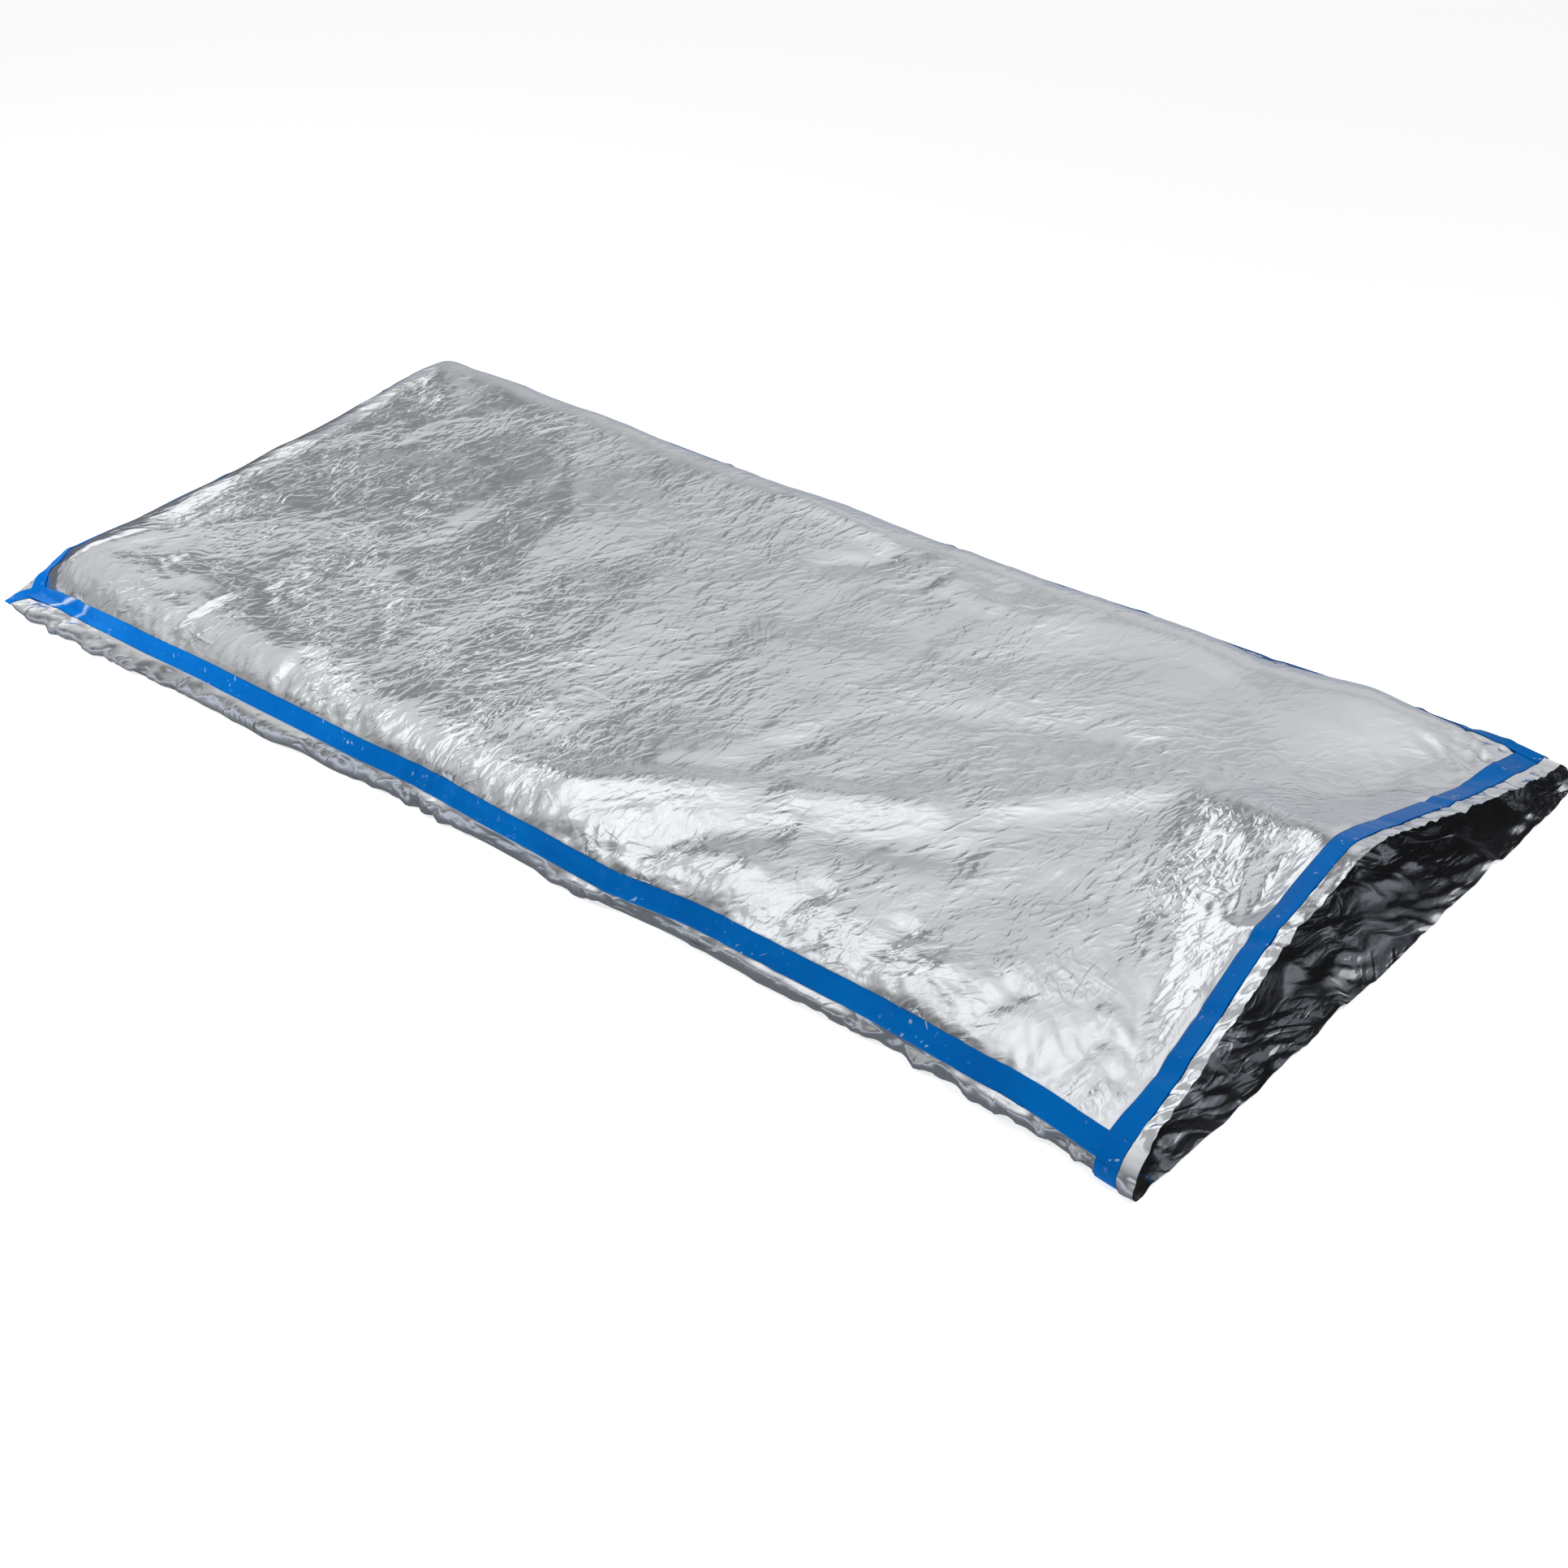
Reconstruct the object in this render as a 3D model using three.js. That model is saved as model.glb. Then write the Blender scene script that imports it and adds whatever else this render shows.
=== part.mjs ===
// Bivy bag of metallised film, lying puffed on a flat surface with its mouth raised in a tent.
// Millimetres. +X runs from the foot to the mouth, +Y from the near side to the far side, +Z up.
// The origin is on the surface, under the middle of the bag.
import * as THREE from "three";

const LENGTH = 2130; // foot corners to mouth corners
const LIP = 12; // the lower lip reaches this far past the mouth corners
const WIDTH = 910; // over the corners
const BULGE = 14; // the near side swells this far past its corners
const FILM = 1.2; // thickness of the film
const TAPE = 1.0; // thickness of the tape
const TAPE_WIDTH = 32;
const GAP = 0.4; // between two layers that lie on each other
const MOUTH_MARGIN = 15; // bare film between the mouth tape and the mouth's edge

const FOOT_X = -(LENGTH + LIP) / 2;
const MOUTH_X = FOOT_X + LENGTH;
const NEAR_Y = BULGE - (WIDTH + BULGE) / 2;
const FAR_Y = NEAR_Y + WIDTH;
const HALF_TAPE = TAPE_WIDTH / 2;
const LAP = GAP + TAPE; // extra lift of a tape where it passes over another

// The rolled-up rim of the base film, a row for each section. Along a side "at" runs from the foot
// to the mouth, along the foot from the near corner to the far one.
// drawn: the widest line, in from the straight edge; tuck: from there in to where it leaves the
// surface; inset: from there in to the seam; height: the seam above the surface.
const NEAR_RIM = [
  { at: 0.0, drawn: 0, tuck: 7, inset: 34, height: 9 },
  { at: 0.05, drawn: -9, tuck: 12, inset: 38, height: 25 },
  { at: 0.13, drawn: -14, tuck: 12, inset: 35, height: 38 },
  { at: 0.23, drawn: -6, tuck: 11, inset: 27, height: 44 },
  { at: 0.37, drawn: 5, tuck: 10, inset: 18, height: 45 },
  { at: 0.43, drawn: 12, tuck: 9, inset: 19, height: 42 },
  { at: 0.52, drawn: 10, tuck: 9, inset: 17, height: 41 },
  { at: 0.6, drawn: 12, tuck: 9, inset: 14, height: 38 },
  { at: 0.68, drawn: 22, tuck: 9, inset: 14, height: 43 },
  { at: 0.8, drawn: 26, tuck: 9, inset: 13, height: 40 },
  { at: 0.9, drawn: 15, tuck: 9, inset: 18, height: 39 },
  { at: 1.0, drawn: -4, tuck: 9, inset: 18, height: 38 },
];
const FAR_RIM = [
  { at: 0.0, drawn: 0, tuck: 7, inset: 34, height: 9 },
  { at: 0.05, drawn: 8, tuck: 14, inset: 28, height: 22 },
  { at: 0.15, drawn: 22, tuck: 20, inset: 18, height: 36 },
  { at: 0.35, drawn: 33, tuck: 22, inset: 13, height: 42 },
  { at: 0.55, drawn: 28, tuck: 22, inset: 13, height: 43 },
  { at: 0.75, drawn: 15, tuck: 22, inset: 13, height: 48 },
  { at: 0.9, drawn: 1, tuck: 20, inset: 14, height: 53 },
  { at: 1.0, drawn: -1, tuck: 16, inset: 18, height: 53 },
];
const FOOT_RIM = [
  { at: 0.0, drawn: 0, tuck: 7, inset: 34, height: 9 },
  { at: 0.05, drawn: 0, tuck: 11, inset: 20, height: 24 },
  { at: 0.1, drawn: 1, tuck: 14, inset: 11, height: 33 },
  { at: 0.3, drawn: 9, tuck: 17, inset: 14, height: 33 },
  { at: 0.5, drawn: 16, tuck: 17, inset: 16, height: 31 },
  { at: 0.7, drawn: 15, tuck: 17, inset: 17, height: 28 },
  { at: 0.9, drawn: 6, tuck: 13, inset: 13, height: 20 },
  { at: 1.0, drawn: 0, tuck: 7, inset: 34, height: 9 },
];

// How the top film rises from its seams to the crown.
const CROWN = 88; // height over the middle of the bag
const MOUTH_CROWN = 46; // height that it sinks to at the mouth, beside the tent
const MOUTH_SINK_FROM = 760; // x where it starts to sink
const SIDE_SHOULDER = 85; // width of the rounded shoulder along a side
const SIDE_START = THREE.MathUtils.degToRad(20); // its angle on the arc where it leaves the seam
const FOOT_SHOULDER = 150;
const CORNER_POWER = 2.6; // how full the corners are where two shoulders meet
const FOOT_BLEND = 70; // distance in which the foot seam's height fades out

// The tent over the mouth: its ridge from the back to the front, and the fall to each side.
const RIDGE_BACK = { x: 740, y: 102, height: 88 };
const RIDGE_FRONT = { x: MOUTH_X, y: -58, height: 203 };
const NEAR_FALL = 0.33;
const FAR_FALL = 0.3;
const RIDGE_ROUND = 14; // half the width over which the ridge is rounded
const TENT_BLEND = 16; // how softly the tent runs out into the crown
const TENT_SHOULDER = 55; // width of the shoulder at the mouth corners

// Broad swells and hollows of the top film.
const SWELLS = [
  { x: -780, y: 67, long: 210, wide: 190, height: 1.5 },
  { x: -560, y: -183, long: 160, wide: 120, height: -2 },
  { x: -380, y: 157, long: 190, wide: 130, height: 2 },
  { x: -180, y: -103, long: 170, wide: 120, height: 2.5 },
  { x: -60, y: 197, long: 180, wide: 110, height: -3 },
  { x: 170, y: 137, long: 150, wide: 110, height: 2 },
  { x: 480, y: 237, long: 210, wide: 120, height: -4 },
  { x: 620, y: -293, long: 150, wide: 90, height: -5 },
  { x: 890, y: 385, long: 140, wide: 90, height: 10 },
];

// Main folds of the top film, each from one end to the other: ridges up, troughs down.
const FOLDS = [
  { x0: 40, y0: -378, x1: 321, y1: -201, width: 26, height: 8 },
  { x0: 300, y0: -213, x1: 545, y1: -108, width: 26, height: 8 },
  { x0: 530, y0: -115, x1: 749, y1: 103, width: 30, height: 7 },
  { x0: 190, y0: -403, x1: 410, y1: -238, width: 34, height: -10 },
  { x0: 390, y0: -248, x1: 640, y1: -158, width: 36, height: -8 },
  { x0: 225, y0: -248, x1: 308, y1: 20, width: 30, height: -3 },
  { x0: 295, y0: 12, x1: 725, y1: 179, width: 32, height: -4 },
  { x0: -201, y0: 359, x1: 95, y1: 333, width: 20, height: 5 },
  { x0: 165, y0: 303, x1: 310, y1: 275, width: 24, height: 5 },
  { x0: 98, y0: 317, x1: -20, y1: 222, width: 20, height: -4 },
  { x0: -1020, y0: -398, x1: -640, y1: -333, width: 26, height: -5 },
  { x0: -1015, y0: -388, x1: -800, y1: -163, width: 26, height: 4 },
  { x0: -990, y0: 387, x1: -760, y1: 217, width: 28, height: 4 },
  { x0: -640, y0: -113, x1: -350, y1: -283, width: 30, height: -2.5 },
  { x0: -480, y0: 67, x1: -150, y1: -33, width: 28, height: 2 },
  { x0: 870, y0: 157, x1: 1000, y1: 337, width: 28, height: -7 },
  { x0: 930, y0: 247, x1: 1030, y1: 407, width: 24, height: 7 },
  { x0: 940, y0: 27, x1: 985, y1: -143, width: 22, height: -9 },
  { x0: 850, y0: -113, x1: 960, y1: -383, width: 24, height: 7 },
];
const FOLD_END = 0.22; // share of a fold's length in which it fades out at each end

// Short puckers that run up from the near seam: x at the seam, lean towards the mouth, and reach.
const PUCKERS = [
  { x: -700, lean: 20, reach: 90, width: 20, height: -5 },
  { x: -420, lean: -25, reach: 100, width: 22, height: -6 },
  { x: -120, lean: 30, reach: 90, width: 20, height: -6 },
  { x: 250, lean: 35, reach: 110, width: 20, height: -8 },
  { x: 385, lean: 25, reach: 95, width: 18, height: 6 },
  { x: 470, lean: 30, reach: 120, width: 20, height: -9 },
  { x: 610, lean: 20, reach: 120, width: 20, height: -8 },
  { x: 690, lean: 30, reach: 90, width: 18, height: 6 },
  { x: 780, lean: 25, reach: 110, width: 20, height: -8 },
  { x: 900, lean: 30, reach: 120, width: 20, height: -7 },
];
const FOLD_CLEAR = 26; // folds grow from nothing over this distance from a seam

// The lower lip at the mouth, from the near corner to the far one: reach past the mouth corners
// and lift above the surface.
const LIP_WAVES = [
  { at: 0.0, reach: 5, lift: 0 },
  { at: 0.12, reach: 10, lift: 7 },
  { at: 0.24, reach: 12, lift: 0 },
  { at: 0.38, reach: 12, lift: 3 },
  { at: 0.52, reach: 11, lift: 0 },
  { at: 0.66, reach: 12, lift: 3 },
  { at: 0.8, reach: 11, lift: 1 },
  { at: 0.92, reach: 12, lift: 3 },
  { at: 1.0, reach: 6, lift: 0 },
];
const LIP_DEPTH = 70; // the waves die out this far inside the mouth
const LIP_BOW = 9; // and the line where they end bows in by this much

const FILM_LOOK = { color: 0xc3c6ca, roughness: 0.28, metalness: 0.95 };
const TAPE_LOOK = { color: 0x0a62b4, roughness: 0.32, metalness: 0.0 };

const { lerp, clamp, smoothstep } = THREE.MathUtils;

// A value of a table's column, eased from row to row.
function along(rows, column, at) {
  const next = clamp(rows.findIndex((row) => row.at > at), 1, rows.length - 1);
  const end = at >= rows[rows.length - 1].at ? rows.length - 1 : next;
  const [before, after] = [rows[end - 1], rows[end]];
  return lerp(before[column], after[column], smoothstep(at, before.at, after.at));
}

// Plan lines of the seams and of the top film's mouth edge.
const nearSeamY = (a) => NEAR_Y + along(NEAR_RIM, "drawn", a) + along(NEAR_RIM, "inset", a);
const farSeamY = (a) => FAR_Y - along(FAR_RIM, "drawn", a) - along(FAR_RIM, "inset", a);
const footSeamX = (b) => FOOT_X + along(FOOT_RIM, "drawn", b) + along(FOOT_RIM, "inset", b);

// A point of the plan: a runs from the foot seam to the mouth, b from the near seam to the far one.
const planX = (a, b) => lerp(footSeamX(b), MOUTH_X, a);
const planY = (a, b) => lerp(nearSeamY(a), farSeamY(a), b);

// Rise from 0 at a seam to 1 on the crown, along a rounded shoulder.
function sideRise(distance, width) {
  const across = Math.cos(SIDE_START) * (1 - clamp(distance / width, 0, 1));
  const start = Math.sin(SIDE_START);
  return (Math.sqrt(1 - across * across) - start) / (1 - start);
}
const footRise = (distance) => 1 - (1 - clamp(distance / FOOT_SHOULDER, 0, 1)) ** 2;

// The rises from several seams put together: the lowest rules, softened where two are low.
const fullness = (...rises) =>
  1 - Math.min(1, rises.reduce((sum, r) => sum + (1 - r) ** CORNER_POWER, 0)) ** (1 / CORNER_POWER);

const softMax = (p, q, blend) => (p + q + Math.hypot(p - q, blend)) / 2;

function tentHeight(x, y) {
  const share = (x - RIDGE_BACK.x) / (RIDGE_FRONT.x - RIDGE_BACK.x);
  const away = y - lerp(RIDGE_BACK.y, RIDGE_FRONT.y, share);
  const round = Math.hypot(away, RIDGE_ROUND) - RIDGE_ROUND;
  return lerp(RIDGE_BACK.height, RIDGE_FRONT.height, share) - round * (away < 0 ? NEAR_FALL : FAR_FALL);
}

function swellHeight(x, y) {
  const swell = (s) => s.height * Math.exp(-(((x - s.x) / s.long) ** 2) - ((y - s.y) / s.wide) ** 2);
  return SWELLS.reduce((sum, s) => sum + swell(s), 0);
}

// One fold's part in the height: a soft ridge or trough about its line, fading out at both ends.
function foldHeight(fold, x, y) {
  const [dx, dy] = [fold.x1 - fold.x0, fold.y1 - fold.y0];
  const length = Math.hypot(dx, dy);
  const share = ((x - fold.x0) * dx + (y - fold.y0) * dy) / length ** 2;
  const off = ((x - fold.x0) * dy - (y - fold.y0) * dx) / length;
  const fade = smoothstep(share, 0, FOLD_END) * (1 - smoothstep(share, 1 - FOLD_END, 1));
  return fold.height * fade * Math.exp(-((off / fold.width) ** 2));
}

const puckerFold = ({ x, lean, reach, width, height }) => {
  const seam = nearSeamY((x - FOOT_X) / LENGTH);
  return { x0: x, y0: seam, x1: x + lean, y1: seam + reach, width, height };
};
const ALL_FOLDS = [...FOLDS, ...PUCKERS.map(puckerFold)];

function topPoint(a, b) {
  const [x, y] = [planX(a, b), planY(a, b)];
  const [near, far] = [y - nearSeamY(a), farSeamY(a) - y];
  const foot = x - footSeamX(b);
  const seam = lerp(along(NEAR_RIM, "height", a), along(FAR_RIM, "height", a), b);
  const footExtra = along(FOOT_RIM, "height", b) - along(FOOT_RIM, "height", 0);
  const base = seam + footExtra * Math.exp(-foot / FOOT_BLEND);
  const crown = lerp(CROWN, MOUTH_CROWN, smoothstep(x, MOUTH_SINK_FROM, MOUTH_X));
  const folds = ALL_FOLDS.reduce((sum, fold) => sum + foldHeight(fold, x, y), swellHeight(x, y));
  const clear = clamp(Math.min(near, far, foot) / FOLD_CLEAR, 0, 1);
  const full = softMax(crown, tentHeight(x, y), TENT_BLEND);
  const shoulder = lerp(SIDE_SHOULDER, TENT_SHOULDER, smoothstep(x, MOUTH_SINK_FROM, MOUTH_X));
  const rise = fullness(sideRise(near, shoulder), sideRise(far, shoulder), footRise(foot));
  return new THREE.Vector3(x, y, base + (full - base) * rise + folds * clear * rise);
}

// The rim's section: out from its widest line (towards the outside) and up, with t from 0 on the
// surface to 1 at the seam.
function rimSection(rows, at, t) {
  const [tuck, inset, height] = ["tuck", "inset", "height"].map((column) => along(rows, column, at));
  const bulge = (tuck + inset) / 6;
  const curve = new THREE.CubicBezierCurve(
    new THREE.Vector2(-tuck, 0),
    new THREE.Vector2(bulge, 0),
    new THREE.Vector2(bulge, 0.6 * height),
    new THREE.Vector2(-inset, height),
  );
  const { x: out, y: up } = curve.getPoint(t);
  return { out, up };
}

const lipX = (b) => MOUTH_X + along(LIP_WAVES, "reach", b);

// Rim points on the near side and the far side (a from foot to mouth), and on the foot (b from near
// to far).
function sideRimX(rows, lipEnd, a, t) {
  const corner = FOOT_X - rimSection(rows, 0, t).out;
  return lerp(corner, lerp(lipX(lipEnd), MOUTH_X, t), a);
}
function nearRimPoint(a, t) {
  const { out, up } = rimSection(NEAR_RIM, a, t);
  const y = NEAR_Y + along(NEAR_RIM, "drawn", a) - out;
  return new THREE.Vector3(sideRimX(NEAR_RIM, 0, a, t), y, up);
}
function farRimPoint(a, t) {
  const { out, up } = rimSection(FAR_RIM, a, t);
  const y = FAR_Y - along(FAR_RIM, "drawn", a) + out;
  return new THREE.Vector3(sideRimX(FAR_RIM, 1, a, t), y, up);
}
function footRimPoint(b, t) {
  const corner = rimSection(FOOT_RIM, 0, t).out;
  const { out, up } = rimSection(FOOT_RIM, b, t);
  const x = FOOT_X + along(FOOT_RIM, "drawn", b) - out;
  return new THREE.Vector3(x, lerp(NEAR_Y - corner, FAR_Y + corner, b), up);
}

// The parameter at which a curve's point is half a tape's width away from its seam.
function tapeEdge(pointAt, seam, farEnd) {
  const start = pointAt(seam);
  let [within, beyond] = [seam, farEnd];
  for (let step = 0; step < 24; step++) {
    const middle = (within + beyond) / 2;
    if (pointAt(middle).distanceTo(start) > HALF_TAPE) beyond = middle;
    else within = middle;
  }
  return (within + beyond) / 2;
}

// Stations along the bag: the foot seam, the foot tape's edge, even steps, the mouth tape's edges
// and the mouth. Rows across it: each seam, each side tape's edge and easing steps between.
const BODY_STEPS = 54;
const ROW_STEPS = 26;
const RIM_LEVELS = [0, 0.28, 0.55, 0.8, 1]; // shares of the way from the surface to the tape's edge
const ROW_EASE = 0.09; // how much closer the rows lie on the shoulders
const FOOT_TAPE_REACH = 0.8; // the foot tape's plan width over its true one, as it lies on a slope

const topLength = MOUTH_X - footSeamX(0.5);
const stations = [0];
const firstStep = (HALF_TAPE * FOOT_TAPE_REACH) / topLength;
const mouthTapeIn = 1 - (MOUTH_MARGIN + TAPE_WIDTH) / topLength;
const mouthTapeOut = 1 - MOUTH_MARGIN / topLength;
for (let i = 0; i <= BODY_STEPS; i++) stations.push(lerp(firstStep, mouthTapeIn, i / BODY_STEPS));
stations.push((mouthTapeIn + mouthTapeOut) / 2, mouthTapeOut, 1);
const LAST = stations.length - 1;
const FOOT_TAPE_END = 1; // station numbers of the tapes' edges
const MOUTH_TAPE_START = LAST - 3;
const MOUTH_TAPE_END = LAST - 1;

const rowShare = (k) => k / ROW_STEPS - (ROW_EASE * Math.sin((2 * Math.PI * k) / ROW_STEPS)) / 2;
const ROWS = ROW_STEPS + 2; // number of the last row, on the far seam
function rowsAt(a) {
  const first = tapeEdge((b) => topPoint(a, b), 0, 0.2);
  const last = tapeEdge((b) => topPoint(a, b), 1, 0.8);
  const between = Array.from({ length: ROW_STEPS + 1 }, (_, k) => lerp(first, last, rowShare(k)));
  return [0, ...between, 1];
}

// The skin: one set of points for the whole outside of the bag, from which every piece is cut.
const points = [];
const addPoint = (point) => points.push(point) - 1;

const topRows = stations.map(rowsAt);
const top = stations.map((a, i) => topRows[i].map((b) => addPoint(topPoint(a, b))));

// The rim runs from the mouth along the near side, across the foot and back along the far side.
// Its last level is the seam, which it shares with the top film.
const SEAM_LEVEL = RIM_LEVELS.length;
function rimColumn(pointAt, seamPoint) {
  const edge = tapeEdge(pointAt, 1, 0);
  return [...RIM_LEVELS.map((share) => addPoint(pointAt(share * edge))), seamPoint];
}
const nearRim = stations.map((a, i) => rimColumn((t) => nearRimPoint(a, t), top[i][0]));
const farRim = stations.map((a, i) => rimColumn((t) => farRimPoint(a, t), top[i][ROWS]));
const footRim = topRows[0].map((b, j) => {
  if (j === 0) return nearRim[0];
  return j === ROWS ? farRim[0] : rimColumn((t) => footRimPoint(b, t), top[0][j]);
});
const rim = [...nearRim.slice(1).reverse(), ...footRim, ...farRim.slice(1)];
const NEAR_FOOT = LAST; // numbers of the rim's columns at the two foot corners
const FAR_FOOT = LAST + ROWS;

// The floor of the bag: flat, with a strip of waves at the lower lip.
const LIP_ROWS = 18;
const LIP_START = stations.findIndex((a) => topLength * (1 - a) < LIP_DEPTH) - 1;
function lipPoint(i, k) {
  const share = k / LIP_ROWS;
  const [near, far] = [points[nearRim[i][0]], points[farRim[i][0]]];
  const grown = smoothstep(stations[i], stations[LIP_START], 1);
  const ends = lerp(lipX(0), lipX(1), share);
  const point = near.clone().lerp(far, share);
  point.x += (lipX(share) - ends) * grown - 4 * LIP_BOW * share * (1 - share) * (1 - grown);
  point.z += along(LIP_WAVES, "lift", share) * grown;
  return addPoint(point);
}
const lip = [];
for (let i = LIP_START; i <= LAST; i++) {
  const inner = Array.from({ length: LIP_ROWS - 1 }, (_, k) => lipPoint(i, k + 1));
  lip.push([nearRim[i][0], ...inner, farRim[i][0]]);
}

// Faces of the skin, as triangles that face outwards.
const quad = (p, q, r, s) => [[p, q, r], [p, r, s]];
// A cell of the top film is split along the diagonal that lies closer to the film.
function topCell(i, j) {
  const [p, q, r, s] = [top[i][j], top[i + 1][j], top[i + 1][j + 1], top[i][j + 1]];
  const a = (stations[i] + stations[i + 1]) / 2;
  const b = (topRows[i][j] + topRows[i + 1][j + 1]) / 2;
  const height = topPoint(a, b).z;
  const miss = (m, n) => Math.abs((points[m].z + points[n].z) / 2 - height);
  return miss(p, r) <= miss(q, s) ? quad(p, q, r, s) : quad(q, r, s, p);
}
const rimCell = (p, r) => quad(rim[p][r], rim[p][r + 1], rim[p + 1][r + 1], rim[p + 1][r]);
const lipCell = (i, k) => quad(lip[i][k], lip[i][k + 1], lip[i + 1][k + 1], lip[i + 1][k]);

// All cells with their first number in one range and their second in another, ends left out.
function cells(cell, from, to, low, high) {
  const faces = [];
  for (let i = from; i < to; i++) {
    for (let j = low; j < high; j++) faces.push(...cell(i, j));
  }
  return faces;
}

function floorFaces() {
  const flatRim = rim.slice(LAST - LIP_START, rim.length - (LAST - LIP_START));
  const outline = [...flatRim.map((column) => column[0]), ...lip[0].slice(1, -1).reverse()];
  const plan = outline.map((p) => new THREE.Vector2(points[p].x, points[p].y));
  return THREE.ShapeUtils.triangulateShape(plan, []).map((corners) => {
    const facesUp = THREE.ShapeUtils.area(corners.map((n) => plan[n])) > 0;
    const face = corners.map((n) => outline[n]);
    return facesUp ? face.reverse() : face;
  });
}

const topFaces = cells(topCell, 0, LAST, 0, ROWS);
const rimFaces = cells(rimCell, 0, rim.length - 1, 0, SEAM_LEVEL);
const baseFaces = [...rimFaces, ...floorFaces(), ...cells(lipCell, 0, lip.length - 1, 0, LIP_ROWS)];

// Outward direction at each point of the skin, averaged over the faces that meet there.
const normals = points.map(() => new THREE.Vector3());
const triangle = new THREE.Triangle();
for (const face of [...topFaces, ...baseFaces]) {
  triangle.set(...face.map((p) => points[p]));
  const normal = triangle.getNormal(new THREE.Vector3());
  const corners = face.map((p) => points[p]);
  face.forEach((p, n) => {
    const one = corners[(n + 1) % 3].clone().sub(corners[n]);
    const other = corners[(n + 2) % 3].clone().sub(corners[n]);
    normals[p].addScaledVector(normal, one.angleTo(other));
  });
}
normals.forEach((normal) => normal.normalize());

// A closed sheet over some faces of the skin, from one distance off the skin to another.
// lift gives more distance at a point, and back the neighbour that its cut edge stays short of.
function sheet(faces, from, to, { lift = () => 0, back = new Map() } = {}) {
  const used = [...new Set(faces.flat())];
  const number = new Map(used.map((p, n) => [p, n]));
  const place = (p, offset) => {
    const point = points[p].clone().addScaledVector(normals[p], offset + lift(p));
    if (!back.has(p)) return point;
    const inward = points[back.get(p)].clone().sub(points[p]).setLength(GAP);
    return point.add(inward);
  };
  const positions = [to, from].flatMap((offset) => used.flatMap((p) => place(p, offset).toArray()));
  const outer = (p) => number.get(p);
  const inner = (p) => number.get(p) + used.length;
  const index = faces.flatMap(([p, q, r]) => [outer(p), outer(q), outer(r), inner(p), inner(r), inner(q)]);
  const directed = new Set(faces.flatMap(([p, q, r]) => [`${p},${q}`, `${q},${r}`, `${r},${p}`]));
  for (const edge of directed) {
    const [p, q] = edge.split(",").map(Number);
    if (!directed.has(`${q},${p}`)) {
      index.push(outer(q), outer(p), inner(p), outer(q), inner(p), inner(q));
    }
  }
  const geometry = new THREE.BufferGeometry();
  geometry.setAttribute("position", new THREE.Float32BufferAttribute(positions, 3));
  geometry.setIndex(index);
  geometry.computeVertexNormals();
  return geometry;
}

const bag = new THREE.Group();
function addPiece(name, geometry, look) {
  const piece = new THREE.Mesh(geometry, new THREE.MeshStandardMaterial(look));
  piece.name = name;
  bag.add(piece);
}

// The two films stop short of each other under the tape.
const seamColumns = rim.map((column) => [column[SEAM_LEVEL], column[SEAM_LEVEL - 1]]);
const topBack = new Map();
stations.forEach((_, i) => topBack.set(top[i][0], top[Math.max(i, 1)][1]));
stations.forEach((_, i) => topBack.set(top[i][ROWS], top[Math.max(i, 1)][ROWS - 1]));
topRows[0].slice(1, -1).forEach((_, j) => topBack.set(top[0][j + 1], top[1][j + 1]));
addPiece("base_film", sheet(baseFaces, -FILM, 0, { back: new Map(seamColumns) }), FILM_LOOK);
addPiece("top_film", sheet(topFaces, -FILM, 0, { back: topBack }), FILM_LOOK);

// The foot tape runs across the whole foot, and down over the rim at both of its ends.
const TAPE_LEVEL = SEAM_LEVEL - 1;
const footTapeFaces = [
  ...cells(topCell, 0, FOOT_TAPE_END, 0, ROWS),
  ...cells(rimCell, NEAR_FOOT - 1, NEAR_FOOT + 1, 1, SEAM_LEVEL),
  ...cells(rimCell, NEAR_FOOT + 1, FAR_FOOT - 1, TAPE_LEVEL, SEAM_LEVEL),
  ...cells(rimCell, FAR_FOOT - 1, FAR_FOOT + 1, 1, SEAM_LEVEL),
];
addPiece("foot_tape", sheet(footTapeFaces, GAP, GAP + TAPE), TAPE_LOOK);

// The mouth tape passes over the top film and down both side walls almost to the surface.
const mouthColumn = LAST - MOUTH_TAPE_END; // the rim's column at the mouth tape's outer edge
const mouthTapeSpan = MOUTH_TAPE_END - MOUTH_TAPE_START;
const farMouth = rim.length - 1 - mouthColumn;
const mouthTapeFaces = [
  ...cells(topCell, MOUTH_TAPE_START, MOUTH_TAPE_END, 0, ROWS),
  ...cells(rimCell, mouthColumn, mouthColumn + mouthTapeSpan, 1, SEAM_LEVEL),
  ...cells(rimCell, farMouth - mouthTapeSpan, farMouth, 1, SEAM_LEVEL),
];
addPiece("mouth_tape", sheet(mouthTapeFaces, GAP, GAP + TAPE), TAPE_LOOK);

// Each side tape laps over the foot tape at one end and over the mouth tape at the other.
const under = new Set([...footTapeFaces, ...mouthTapeFaces].flat());
const lapLift = (p) => (under.has(p) ? LAP : 0);
const nearTapeFaces = [
  ...cells(topCell, 0, MOUTH_TAPE_END, 0, 1),
  ...cells(rimCell, mouthColumn, NEAR_FOOT, TAPE_LEVEL, SEAM_LEVEL),
];
const farTapeFaces = [
  ...cells(topCell, 0, MOUTH_TAPE_END, ROWS - 1, ROWS),
  ...cells(rimCell, FAR_FOOT, farMouth, TAPE_LEVEL, SEAM_LEVEL),
];
addPiece("near_side_tape", sheet(nearTapeFaces, GAP, GAP + TAPE, { lift: lapLift }), TAPE_LOOK);
addPiece("far_side_tape", sheet(farTapeFaces, GAP, GAP + TAPE, { lift: lapLift }), TAPE_LOOK);

export default bag;
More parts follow.
